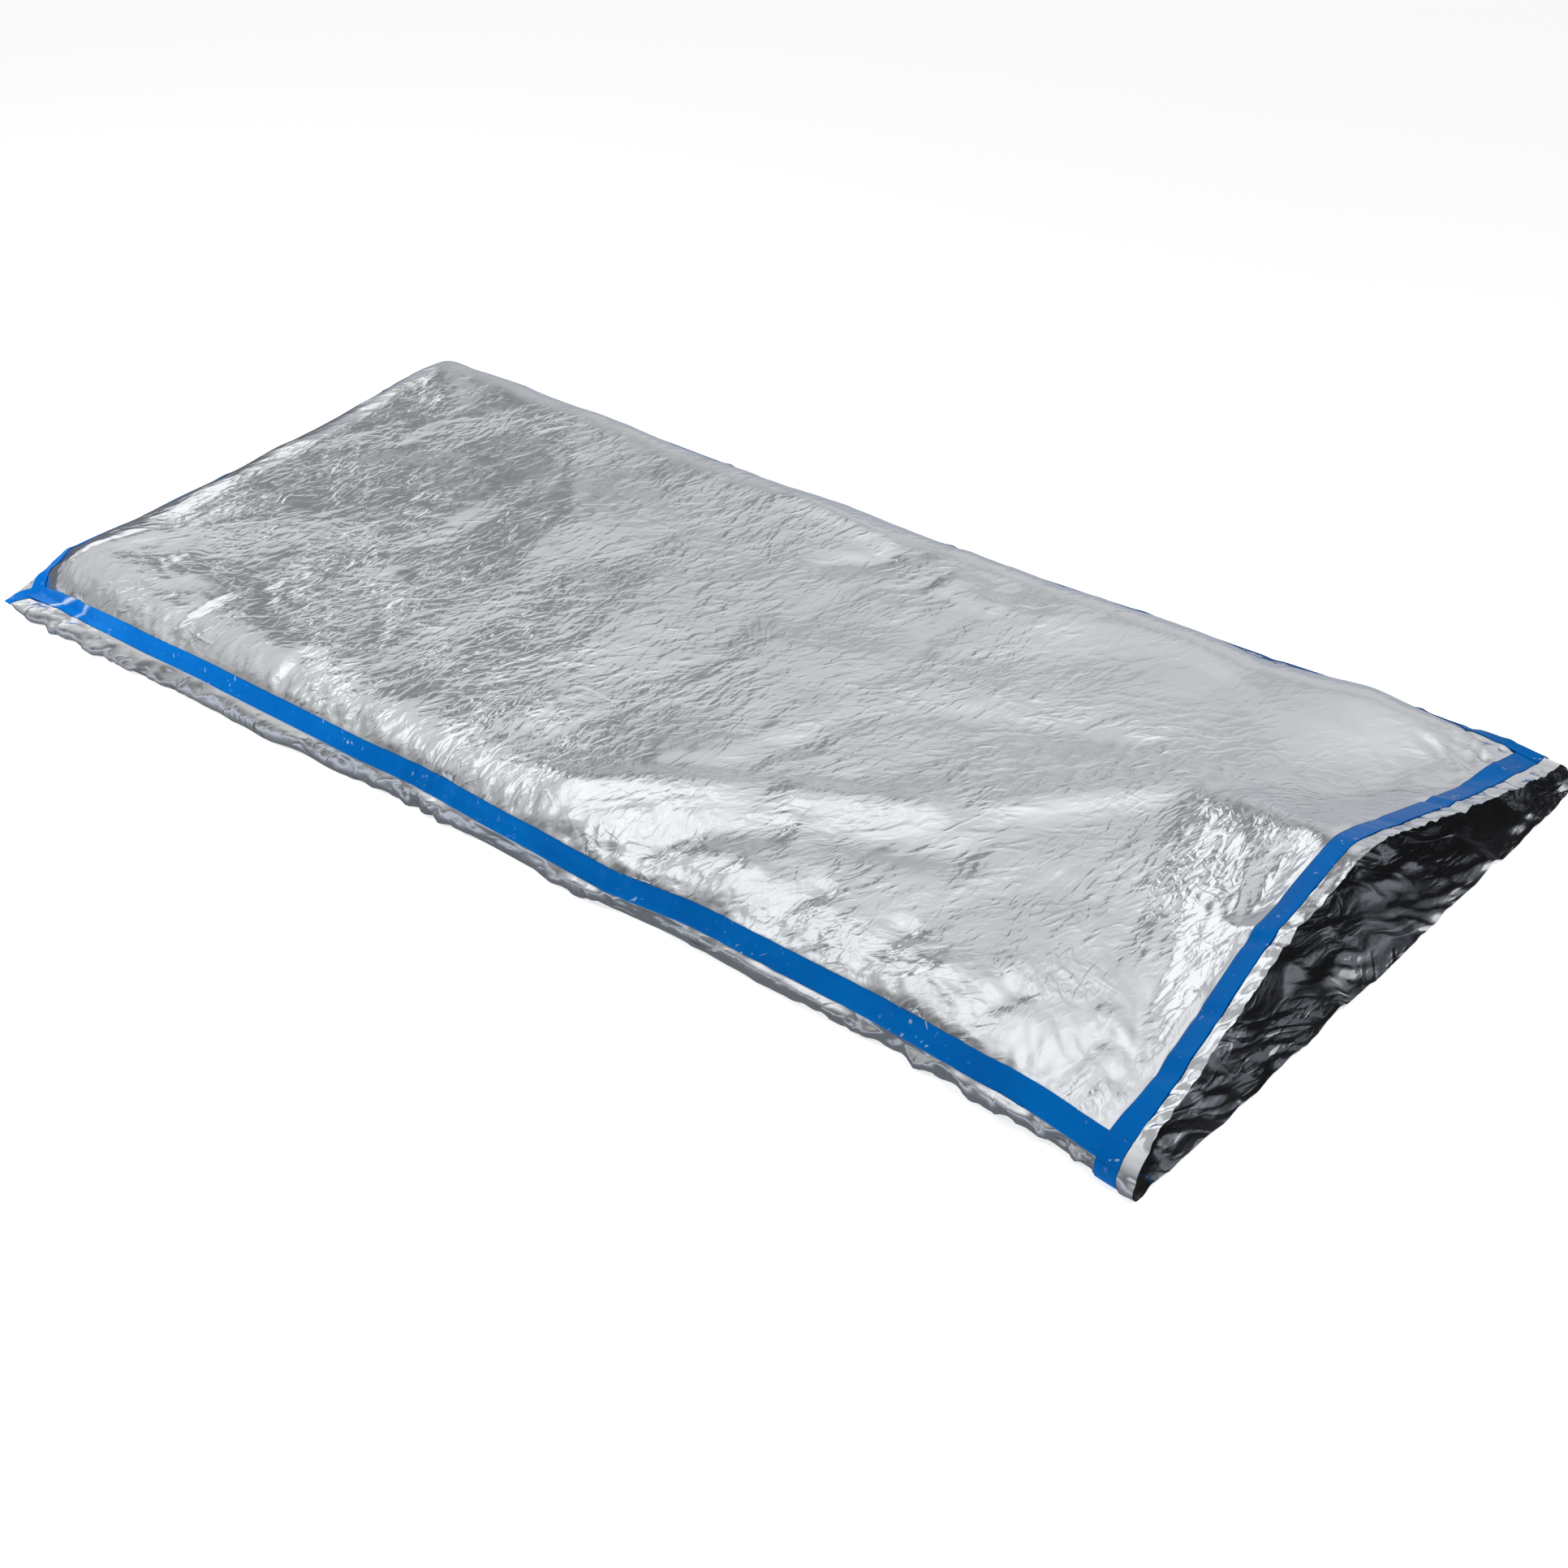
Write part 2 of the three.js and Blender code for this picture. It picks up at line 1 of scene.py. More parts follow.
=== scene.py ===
# %% [markdown]
# # A bivy bag of silver film
# The bag is two sheets of thin metallised film, taped together along both sides and the foot. It
# lies puffed up on a flat surface, and its mouth stands open as a low tent. We build what an eye
# would check: the two crinkled sheets and the four blue tapes on them. Everything is in the frame
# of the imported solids: metres, +X from the foot to the mouth, +Z up.

# %% Load the frame
import math

import bmesh
import bpy
import numpy as np
from mathutils import Matrix, Vector


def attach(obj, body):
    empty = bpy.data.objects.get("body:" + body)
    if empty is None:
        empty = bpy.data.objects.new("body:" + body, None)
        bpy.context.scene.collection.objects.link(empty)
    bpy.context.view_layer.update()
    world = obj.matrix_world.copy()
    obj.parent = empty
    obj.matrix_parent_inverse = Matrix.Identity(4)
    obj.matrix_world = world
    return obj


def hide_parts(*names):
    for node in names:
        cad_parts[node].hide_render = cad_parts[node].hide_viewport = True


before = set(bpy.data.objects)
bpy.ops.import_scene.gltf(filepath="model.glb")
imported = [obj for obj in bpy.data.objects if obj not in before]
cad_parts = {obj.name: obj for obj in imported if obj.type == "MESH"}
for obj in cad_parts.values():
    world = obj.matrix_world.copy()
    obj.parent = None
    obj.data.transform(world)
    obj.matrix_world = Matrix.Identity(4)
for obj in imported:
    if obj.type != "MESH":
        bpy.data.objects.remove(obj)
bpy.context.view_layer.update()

# %% [markdown]
# ## Where the seams run
# The bottom sheet turns up round both sides and the foot as a soft roll, and meets the top sheet in
# a seam under the tape. One could sculpt that roll by eye, but the tapes, the films and the solids
# all have to agree about it. So a few short tables hold it, a row for each section, and every piece
# reads them. Sizes in the tables are millimetres.

# %% Main sizes and the rim's sections
MM = 0.001
LENGTH = 2130.0  # foot corners to mouth corners
LIP = 12.0  # the lower lip reaches this far past the mouth corners
WIDTH = 910.0
BULGE = 14.0  # the near side swells this far past its corners
TAPE_WIDTH = 32.0
MOUTH_MARGIN = 24.0  # bare film between the mouth tape and the mouth's edge
FOOT_X = -(LENGTH + LIP) / 2
MOUTH_X = FOOT_X + LENGTH
NEAR_Y = BULGE - (WIDTH + BULGE) / 2
FAR_Y = NEAR_Y + WIDTH

# at: share of the way along the edge; drawn: the widest line, in from the straight edge;
# tuck: from there in to the surface; inset: from there in to the seam; height: of the seam.
AT, DRAWN, TUCK, INSET, HEIGHT = range(5)
NEAR_RIM = [
    (0.00, 0, 7, 34, 9),
    (0.05, -9, 12, 38, 25),
    (0.13, -14, 12, 35, 38),
    (0.23, -6, 11, 27, 44),
    (0.37, 5, 10, 18, 45),
    (0.43, 12, 9, 19, 42),
    (0.52, 10, 9, 17, 41),
    (0.60, 12, 9, 14, 38),
    (0.68, 22, 9, 14, 43),
    (0.80, 26, 9, 13, 40),
    (0.90, 15, 9, 18, 39),
    (1.00, -4, 9, 18, 38),
]
FAR_RIM = [
    (0.00, 0, 7, 34, 9),
    (0.05, 8, 14, 28, 22),
    (0.15, 22, 20, 18, 36),
    (0.35, 33, 22, 13, 42),
    (0.55, 28, 22, 13, 43),
    (0.75, 15, 22, 13, 47),
    (0.90, 2, 20, 13, 46),
    (0.955, -1, 18, 17, 56),
    (1.00, -2, 14, 24, 54),
]
FOOT_RIM = [
    (0.00, 0, 7, 34, 9),
    (0.05, 0, 11, 20, 28),
    (0.10, 1, 14, 11, 37),
    (0.30, 9, 17, 14, 33),
    (0.50, 16, 17, 16, 31),
    (0.70, 15, 17, 17, 28),
    (0.90, 6, 13, 13, 20),
    (1.00, 0, 7, 34, 9),
]
print("bag", round(LENGTH + LIP), "by", round(WIDTH + BULGE), "mm")


# %% Reading the tables
def smooth(value, low, high):
    """0 below low, 1 above high, eased between."""
    t = np.clip((value - low) / (high - low), 0, 1)
    return t * t * (3 - 2 * t)


def mix(p, q, share):
    return p + (q - p) * share


def eased(rows, column, at):
    """A table's column at any place along the edge, eased from row to row."""
    table = np.array(rows, float)
    row = np.clip(np.searchsorted(table[:, AT], at, side="right") - 1, 0, len(table) - 2)
    share = smooth(at, table[row, AT], table[row + 1, AT])
    return mix(table[row, column], table[row + 1, column], share)


def near_seam_y(a):
    return NEAR_Y + eased(NEAR_RIM, DRAWN, a) + eased(NEAR_RIM, INSET, a)


def far_seam_y(a):
    return FAR_Y - eased(FAR_RIM, DRAWN, a) - eased(FAR_RIM, INSET, a)


def foot_seam_x(b):
    return FOOT_X + eased(FOOT_RIM, DRAWN, b) + eased(FOOT_RIM, INSET, b)


print("seams about", round(float(far_seam_y(0.5) - near_seam_y(0.5))), "mm apart in plan")

# %% [markdown]
# ## The large form of the top sheet
# Trapped air lifts the sheet to a flat crown with rounded shoulders, and at the mouth the film is
# pulled up into a ridge. A cloth simulation would puff up too, but not with the folds in these
# places, so the form is a height over the plan: crown, tent, broad swells, then the main folds, each
# a soft ridge or trough along a given line. a runs from the foot seam (0) to the mouth (1),
# b from the near seam (0) to the far seam (1).

# %% Crown, tent and swells
CROWN = 88.0  # height of the flat top
MOUTH_CROWN = 46.0  # the same at the mouth, beside the tent
MOUTH_SINK_FROM = 760.0  # x where it starts to sink
SIDE_SHOULDER = 85.0  # width of the rounded shoulders
SIDE_START = math.radians(20)
FOOT_SHOULDER = 150.0
CORNER_POWER = 2.6  # how square the shoulders meet at a corner
FOOT_BLEND = 70.0  # distance over which the foot seam's own height fades
# x, y and height of the two ends of the tent's ridge
RIDGE_BACK = (740.0, 102.0, 88.0)
RIDGE_FRONT = (MOUTH_X, -5.0, 198.0)
NEAR_FALL = (0.22, 0.25, 150.0)  # slope, more slope past a bend, distance of the bend
FAR_FALL = 0.37
RIDGE_ROUND = 14.0
TENT_BLEND = 16.0  # softness of the line where tent and crown meet
TENT_SHOULDER = 55.0  # width of the shoulders at the mouth

# x, y, half length, half width, height
SWELLS = [
    (-780, 67, 210, 190, 1.5),
    (-560, -183, 160, 120, -2),
    (-380, 157, 190, 130, 2),
    (-180, -103, 170, 120, 2.5),
    (-60, 197, 180, 110, -3),
    (170, 137, 150, 110, 2),
    (480, 237, 210, 120, -4),
    (620, -293, 150, 90, -5),
    (890, 385, 140, 90, 14),
    (-250, 80, 300, 130, 6),
    (-560, -60, 280, 220, 7),
]


def side_rise(distance, width):
    across = math.cos(SIDE_START) * (1 - np.clip(distance / width, 0, 1))
    start = math.sin(SIDE_START)
    return (np.sqrt(1 - across**2) - start) / (1 - start)


def fullness(*rises):
    lost = sum((1 - r) ** CORNER_POWER for r in rises)
    return 1 - np.minimum(1, lost) ** (1 / CORNER_POWER)


def tent_height(x, y):
    share = (x - RIDGE_BACK[0]) / (RIDGE_FRONT[0] - RIDGE_BACK[0])
    away = y - mix(RIDGE_BACK[1], RIDGE_FRONT[1], share)
    rounded = np.hypot(away, RIDGE_ROUND) - RIDGE_ROUND
    near_fall = NEAR_FALL[0] * rounded + NEAR_FALL[1] * np.maximum(0, rounded - NEAR_FALL[2])
    return mix(RIDGE_BACK[2], RIDGE_FRONT[2], share) - np.where(away < 0, near_fall, FAR_FALL * rounded)


def swell_height(x, y):
    total = 0
    for cx, cy, long, wide, height in SWELLS:
        total = total + height * np.exp(-(((x - cx) / long) ** 2) - ((y - cy) / wide) ** 2)
    return total


print("crown", CROWN, "mm high, the tent's ridge up to", RIDGE_FRONT[2], "mm,", len(SWELLS), "swells")

# %% Main folds
# x and y of one end, x and y of the other, width, height (up for a ridge, down for a trough)
FOLDS = [
    (40, -378, 321, -201, 26, 8),
    (300, -213, 545, -108, 26, 8),
    (530, -115, 749, 103, 30, 7),
    (190, -403, 410, -238, 34, -10),
    (390, -248, 640, -158, 36, -8),
    (225, -248, 308, 20, 30, -3),
    (295, 12, 725, 179, 32, -4),
    (-201, 359, 95, 333, 20, 5),
    (165, 303, 310, 275, 24, 5),
    (98, 317, -20, 222, 20, -4),
    (-1020, -398, -640, -333, 26, -5),
    (-1015, -388, -800, -163, 26, 4),
    (-990, 387, -760, 217, 28, 4),
    (-640, -113, -350, -283, 30, -2.5),
    (-480, 67, -150, -33, 28, 2),
    (870, 157, 1000, 337, 28, -7),
    (930, 247, 1030, 407, 24, 7),
    (940, 27, 985, -143, 22, -9),
    (850, -113, 960, -383, 24, 7),
]
# puckers that run up from the near seam: x, lean towards the mouth, reach, width, height
PUCKERS = [
    (-700, 20, 90, 20, -5),
    (-420, -25, 100, 22, -6),
    (-120, 30, 90, 20, -6),
    (250, 35, 110, 20, -8),
    (385, 25, 95, 18, 6),
    (470, 30, 120, 20, -9),
    (610, 20, 120, 20, -8),
    (690, 30, 90, 18, 6),
    (780, 25, 110, 20, -8),
    (900, 30, 120, 20, -7),
]

for px, lean, reach, width, height in PUCKERS:
    seam_y = float(near_seam_y((px - FOOT_X) / LENGTH))
    FOLDS.append((px, seam_y, px + lean, seam_y + reach, width, height))
print(len(FOLDS), "folds, of which", len(PUCKERS), "are puckers")

# %% Form of the top sheet
FOLD_END = 0.22  # share of a fold's length in which it fades out
FOLD_CLEAR = 26.0  # folds grow from nothing over this distance from a seam


def line_fold(x, y, x0, y0, x1, y1, width, height):
    """A soft ridge about a line, fading out at both ends."""
    dx, dy = x1 - x0, y1 - y0
    length = math.hypot(dx, dy)
    share = ((x - x0) * dx + (y - y0) * dy) / length**2
    off = ((x - x0) * dy - (y - y0) * dx) / length
    fade = smooth(share, 0, FOLD_END) * (1 - smooth(share, 1 - FOLD_END, 1))
    return height * fade * np.exp(-((off / width) ** 2))


def top_form(a, b):
    """Points of the top sheet before its crinkles, in millimetres."""
    x = mix(foot_seam_x(b), MOUTH_X, a)
    y = mix(near_seam_y(a), far_seam_y(a), b)
    near, far, foot = y - near_seam_y(a), far_seam_y(a) - y, x - foot_seam_x(b)
    seam = mix(eased(NEAR_RIM, HEIGHT, a), eased(FAR_RIM, HEIGHT, a), b)
    foot_extra = eased(FOOT_RIM, HEIGHT, b) - FOOT_RIM[0][HEIGHT]
    base = seam + foot_extra * np.exp(-foot / FOOT_BLEND)
    at_mouth = smooth(x, MOUTH_SINK_FROM, MOUTH_X)
    crown, tent = mix(CROWN, MOUTH_CROWN, at_mouth), tent_height(x, y)
    full = (crown + tent + np.hypot(crown - tent, TENT_BLEND)) / 2
    shoulder = mix(SIDE_SHOULDER, TENT_SHOULDER, at_mouth)
    foot_rise = 1 - (1 - np.clip(foot / FOOT_SHOULDER, 0, 1)) ** 2
    rise = fullness(side_rise(near, shoulder), side_rise(far, shoulder), foot_rise)
    folds = swell_height(x, y) + sum(line_fold(x, y, *row) for row in FOLDS)
    clear = np.clip(np.minimum(np.minimum(near, far), foot) / FOLD_CLEAR, 0, 1)
    return np.stack([x, y, base + (full - base) * rise + folds * clear * rise], axis=-1)


mouth_heights = top_form(1.0, np.linspace(0, 1, 101))[:, 2]
print("ridge of the tent", round(float(np.max(mouth_heights))), "mm high")

# %% [markdown]
# ## The rolled rim and the tape's edges
# The rim's section is one Bezier curve: flat on the surface, out past the widest line, then up and
# in to the seam. The tape is as wide on the rim as on the top sheet, measured along the film, so
# the place where it ends is found by halving an interval until half the tape's width fits in.

# %% Rim and tape edges
def rim_section(rows, at, t):
    """Out from the widest line and up, for t from 0 on the surface to 1 at the seam."""
    tuck, inset, height = (eased(rows, column, at) for column in (TUCK, INSET, HEIGHT))
    bulge = (tuck + inset) / 6
    w0, w1, w2, w3 = (1 - t) ** 3, 3 * t * (1 - t) ** 2, 3 * t**2 * (1 - t), t**3
    return -tuck * w0 + bulge * (w1 + w2) - inset * w3, height * (0.6 * w2 + w3)


LIP_NEAR_REACH, LIP_FAR_REACH = 5.0, 6.0  # the lower lip past the mouth at its two corners


def side_rim_x(rows, lip_reach, a, t):
    corner = FOOT_X - rim_section(rows, 0.0, t)[0]
    return mix(corner, mix(MOUTH_X + lip_reach, MOUTH_X, t), a)


def near_rim(a, t):
    out, up = rim_section(NEAR_RIM, a, t)
    y = NEAR_Y + eased(NEAR_RIM, DRAWN, a) - out
    return np.stack([side_rim_x(NEAR_RIM, LIP_NEAR_REACH, a, t), y, up], axis=-1)


def far_rim(a, t):
    out, up = rim_section(FAR_RIM, a, t)
    y = FAR_Y - eased(FAR_RIM, DRAWN, a) + out
    return np.stack([side_rim_x(FAR_RIM, LIP_FAR_REACH, a, t), y, up], axis=-1)


def foot_rim(b, t):
    corner = rim_section(FOOT_RIM, 0.0, t)[0]
    out, up = rim_section(FOOT_RIM, b, t)
    x = FOOT_X + eased(FOOT_RIM, DRAWN, b) - out
    return np.stack([x, mix(NEAR_Y - corner, FAR_Y + corner, b), up], axis=-1)


def tape_edge(point_at, along, seam, far_end):
    """The parameter, at each place along a seam, where half a tape's width ends."""
    along = np.asarray(along, float)
    start = point_at(along, np.full_like(along, seam))
    within, beyond = np.full_like(along, seam), np.full_like(along, far_end)
    for _ in range(24):
        middle = (within + beyond) / 2
        past = np.linalg.norm(point_at(along, middle) - start, axis=-1) > TAPE_WIDTH / 2
        within, beyond = np.where(past, within, middle), np.where(past, middle, beyond)
    return (within + beyond) / 2


def near_tape_b(along):
    return tape_edge(top_form, along, 0.0, 0.2)[:, None]


def far_tape_b(along):
    return tape_edge(top_form, along, 1.0, 0.8)[:, None]


TOP_LENGTH = float(MOUTH_X - foot_seam_x(0.5))
FOOT_TAPE_IN = 0.8 * TAPE_WIDTH / 2 / TOP_LENGTH  # a where the foot tape ends
MOUTH_TAPE_IN = 1 - (MOUTH_MARGIN + TAPE_WIDTH) / TOP_LENGTH
MOUTH_TAPE_OUT = 1 - MOUTH_MARGIN / TOP_LENGTH
print("near tape covers b up to", round(float(near_tape_b([0.5])[0, 0]), 4))

# %% [markdown]
# ## Crinkles
# Creased film is made of small flat facets that meet in sharp lines. A soft noise would look like
# water. The trick used here: take the squared distance to the nearest of some scattered points, and
# subtract the same for other points. Each is a paraboloid per cell, the two curvatures cancel, and
# what is left is flat facets with ridges and valleys between. Stretching the plan first gives long
# narrow facets, so a patch of crinkles has a direction. A table says where each patch lies.

# %% Facets of creased film
SCATTER_SIDE = 64  # the scattered points repeat after this many cells
SCATTER = np.random.default_rng(7).random((2, SCATTER_SIDE, SCATTER_SIDE, 2))


def nearest_square(u, v, layer):
    cell_u, cell_v = np.floor(u).astype(int), np.floor(v).astype(int)
    best = np.full(u.shape, 9.0)
    for i in (-1, 0, 1):
        for j in (-1, 0, 1):
            spot = SCATTER[layer][(cell_u + i) % SCATTER_SIDE, (cell_v + j) % SCATTER_SIDE]
            away_u, away_v = cell_u + i + spot[..., 0] - u, cell_v + j + spot[..., 1] - v
            best = np.minimum(best, away_u**2 + away_v**2)
    return best


def facets(x, y, turn, long, wide, tilt, seed):
    """Height in mm of facets long by wide mm that lie along turn and lean by about tilt degrees."""
    c, s = math.cos(math.radians(turn)), math.sin(math.radians(turn))
    u = (x * c + y * s) / long + seed * 7.31
    v = (y * c - x * s) / wide + seed * 3.77
    v = v + 0.4 * np.sin(1.3 * u + seed) + 0.25 * np.sin(0.31 * v + 2.1 * u)
    flat = nearest_square(u, v, 0) - nearest_square(u + 0.5, v + 0.5, 1)
    return flat * math.tan(math.radians(tilt)) * wide / 0.8


print("facets from", SCATTER.shape[0], "sets of", SCATTER_SIDE**2, "points")

# %% Patches of crinkles on the top sheet
# middle x and y, reach along and across, turn in degrees, facet length and width, tilt in degrees
PATCHES = [
    (-725, 85, 150, 120, 102, 60, 16, 1.6),
    (-840, -320, 190, 80, -10, 60, 17, 2.6),
    (-665, -195, 150, 90, 48, 80, 16, 1.6),
    (-480, -165, 120, 90, 76, 44, 20, 2),
    (-150, -185, 240, 180, 72, 75, 15, 1.4),
    (-60, -270, 160, 90, 78, 70, 15, 1.4),
    (-595, 320, 80, 100, 81, 50, 16, 2),
    (-340, 355, 60, 70, 83, 44, 18, 3.2),
    (-138, 215, 100, 120, 82, 46, 15, 1.6),
    (-370, -375, 80, 70, 76, 42, 19, 7),
    (-130, -385, 60, 240, 110, 60, 14, 2),
    (180, -345, 70, 150, 101, 52, 14, 2),
    (235, -405, 100, 45, 17, 46, 18, 12),
    (200, 300, 120, 46, -8, 60, 17, 3.2),
    (345, 170, 90, 100, 94, 42, 15, 2),
    (420, 260, 100, 66, 96, 38, 15, 2.3),
    (455, -155, 160, 66, 26, 120, 16, 2),
    (655, 40, 190, 90, 58, 120, 16, 2),
    (410, 55, 160, 100, 47, 95, 15, 1.6),
    (610, 170, 150, 66, 13, 80, 16, 1.6),
    (520, -310, 100, 110, 80, 62, 16, 3.2),
    (700, -380, 140, 55, 1, 52, 18, 12),
    (835, -100, 210, 85, -75, 95, 17, 7.5),
    (925, -40, 150, 55, -63, 72, 15, 7),
    (925, -345, 140, 85, -36, 48, 17, 9),
    (945, -285, 130, 66, -50, 60, 16, 7),
    (1005, 375, 75, 55, -18, 50, 24, 24),
    (905, 190, 140, 80, 19, 75, 18, 2),
]
# the smooth part on the far side: middle x and y, reach along and across, turn
CALM = (700, 320, 300, 120, 8)
CALM_SHARE = 0.7  # so much of the crinkles is missing there
# turn, length, width, tilt
EVERYWHERE = [(35, 125, 92, 0.65), (118, 66, 48, 0.6), (95, 60, 26, 0.6), (150, 40, 20, 0.6)]
PACKING = [(2, 230, 150, 1.5), (90, 260, 170, 1.3)]  # large flat fields left by the folded pack
print(len(PATCHES), "patches of crinkles")


# %% Relief and direction of the crinkles
def patch_window(x, y, cx, cy, along, across, turn):
    c, s = math.cos(math.radians(turn)), math.sin(math.radians(turn))
    u, v = ((x - cx) * c + (y - cy) * s) / along, ((y - cy) * c - (x - cx) * s) / across
    return np.exp(-(u**2) - v**2)


def calm(x, y):
    return 1 - CALM_SHARE * patch_window(x, y, *CALM)


def top_relief(x, y):
    """Height of the crinkles on the top sheet, in millimetres."""
    total = sum(facets(x, y, *row, 40 + n) for n, row in enumerate(EVERYWHERE)) * calm(x, y)
    total = total + sum(facets(x, y, *row, 60 + n) for n, row in enumerate(PACKING))
    for n, (cx, cy, along, across, turn, *facet) in enumerate(PATCHES):
        window = patch_window(x, y, cx, cy, along, across, turn)
        total = total + window * facets(x, y, turn, *facet, n)
    return total


# between patches: direction of the finest crinkles doubled, in degrees, its weight, their strength
LOOSE_LAY = (130, 0.3, 0.6)
STRONGEST = 1.4


def crinkle_lay(x, y):
    """Cosine and sine of twice the angle of the finest crinkles, about 0.5, and their strength."""
    doubled, pull, strength = LOOSE_LAY
    cosine, sine = pull * math.cos(math.radians(doubled)), pull * math.sin(math.radians(doubled))
    for cx, cy, along, across, turn, _, _, tilt in PATCHES:
        weight = patch_window(x, y, cx, cy, along, across, turn)
        cosine = cosine + weight * math.cos(math.radians(2 * turn))
        sine = sine + weight * math.sin(math.radians(2 * turn))
        strength = strength + weight * (0.35 + tilt / 20)
    size = np.hypot(cosine, sine) + 1e-6
    strength = np.minimum(strength, STRONGEST) * calm(x, y)
    return np.stack([0.5 + 0.5 * cosine / size, 0.5 + 0.5 * sine / size, strength], axis=-1)


middle_relief = top_relief(np.zeros(1), np.zeros(1))
print("crinkles lift the middle of the sheet by", round(float(middle_relief[0]), 2), "mm")

# %% [markdown]
# ## From a flat grid to a laid sheet
# Every piece starts as Blender's own grid, whose columns and rows are then moved onto the film. The
# grid also gets a flat map in metres, like the pattern of the uncreased sheet, so that the finest
# crinkles in the material follow the film, and an attribute that says which way they run there.

# %% Helpers that make a sheet
def finished_mesh(bm, name):
    mesh = bpy.data.meshes.new(name)
    bm.to_mesh(mesh)
    bm.free()
    return mesh


def cloth_grid(name, columns, rows):
    """A flat grid, and the column and row of each of its vertices."""
    bm = bmesh.new()
    bmesh.ops.create_grid(bm, x_segments=columns, y_segments=rows, size=0.5)
    mesh = finished_mesh(bm, name)
    flat = np.empty(len(mesh.vertices) * 3, np.float32)
    mesh.vertices.foreach_get("co", flat)
    spot = np.rint((flat.reshape(-1, 3)[:, :2] + 0.5) * (columns, rows)).astype(int)
    return mesh, spot[:, 0], spot[:, 1]


def outward(points):
    """Unit normals of a grid of points."""
    normal = np.cross(np.gradient(points, axis=0), np.gradient(points, axis=1))
    return normal / np.linalg.norm(normal, axis=-1, keepdims=True)


def arc_lengths(points, axis):
    """Distance along the film from the first point, along one axis of a grid."""
    step = np.linalg.norm(np.diff(points, axis=axis), axis=-1)
    return np.insert(np.cumsum(step, axis=axis), 0, 0.0, axis=axis)


def lay_cloth(name, points, flat_map, lay):
    """A sheet over a grid of points in mm, with its flat map in mm and its crinkle directions; on tape,
    lay holds painted crease highlights instead.
    """
    mesh, column, row = cloth_grid(name, points.shape[0] - 1, points.shape[1] - 1)
    mesh.vertices.foreach_set("co", (points[column, row] * MM).astype(np.float32).ravel())
    corner = np.empty(len(mesh.loops), np.int32)
    mesh.loops.foreach_get("vertex_index", corner)
    pattern = mesh.uv_layers.get("pattern") or mesh.uv_layers.new(name="pattern")
    pattern.data.foreach_set("uv", (flat_map[column, row][corner] * MM).astype(np.float32).ravel())
    colour = np.concatenate([lay[column, row], np.ones((len(column), 1))], axis=1)
    directions = mesh.attributes.new("lay", "FLOAT_COLOR", "POINT")
    directions.data.foreach_set("color", colour.astype(np.float32).ravel())
    mesh.shade_smooth()
    mesh.update()
    return mesh


def add_object(name, data):
    thing = bpy.data.objects.new(name, data)
    bpy.context.scene.collection.objects.link(thing)
    return thing


def add_piece(name, mesh, material):
    piece = add_object(name, mesh)
    mesh.materials.append(material)
    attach(piece, "root")
    return piece


def film_area(mesh):
    return sum(p.area for p in mesh.polygons)


# %% [markdown]
# ## Silver film
# The film is plastic with a breath of aluminium on it: a metal to the eye, and only slightly satin.
# Its tone is nearly all reflection, so the detail is in the normals. A node group repeats the facet
# trick in the shader for creases too fine for the mesh. A second group lays such creases as a
# patchwork: each patch of some centimetres turns them its own way and fades out at its border, as
# in film that was folded small and smoothed out again. A third one makes the dense fine streaks:
# stretched noise, folded sharp along its middle value. One such layer for each of a few directions
# is strong where the film's own direction agrees, and comes and goes in soft patches. The top sheet
# is mostly streaks; the bottom one, which was handled more, is mostly facets.

# %% Helpers for shader nodes
def feed(tree, node, inputs):
    """Give inputs of a node a value each, or a link from another node's output."""
    for key, value in dict(inputs).items():
        if isinstance(value, bpy.types.NodeSocket):
            tree.links.new(value, node.inputs[key])
        else:
            node.inputs[key].default_value = value


def add_node(tree, kind, inputs=(), **settings):
    node = tree.nodes.new("ShaderNode" + kind)
    for key, value in settings.items():
        setattr(node, key, value)
    feed(tree, node, inputs)
    return node


def maths(tree, operation, *inputs):
    return add_node(tree, "Math", enumerate(inputs), operation=operation).outputs["Value"]


def vector_maths(tree, operation, *inputs):
    return add_node(tree, "VectorMath", enumerate(inputs), operation=operation).outputs["Vector"]


def dot_product(tree, first, second):
    return add_node(tree, "VectorMath", {0: first, 1: second}, operation="DOT_PRODUCT").outputs["Value"]


def map_range(tree, value, interpolation_type="LINEAR", **ends):
    """A value moved from one range to another; from_min stands for the socket From Min."""
    inputs = {key.replace("_", " ").title(): end for key, end in ends.items()}
    node = add_node(tree, "MapRange", {"Value": value, **inputs}, interpolation_type=interpolation_type)
    return node.outputs["Result"]


def flat_noise(tree, spot, scale, detail, distortion=0.0):
    inputs = {"Vector": spot, "Scale": scale, "Detail": detail, "Distortion": distortion}
    return add_node(tree, "TexNoise", inputs, noise_dimensions="2D").outputs


def turn_back(tree, spot, angle):
    inputs = {"Vector": spot, "Angle": angle}
    return add_node(tree, "VectorRotate", inputs, rotation_type="Z_AXIS", invert=True).outputs["Vector"]


def add_ramp(tree, place, steps):
    """A colour ramp; each step is a place from 0 to 1 and a colour."""
    ramp = add_node(tree, "ValToRGB", {"Fac": place})
    for _ in steps[2:]:
        ramp.color_ramp.elements.new(0.5)
    for element, (at, colour) in zip(ramp.color_ramp.elements, steps):
        element.position, element.color = at, colour
    return ramp.outputs["Color"]


def mix_tones(tree, share, first, second):
    inputs = {"Factor": share, "A": first, "B": second}
    return add_node(tree, "Mix", inputs, data_type="RGBA").outputs["Result"]


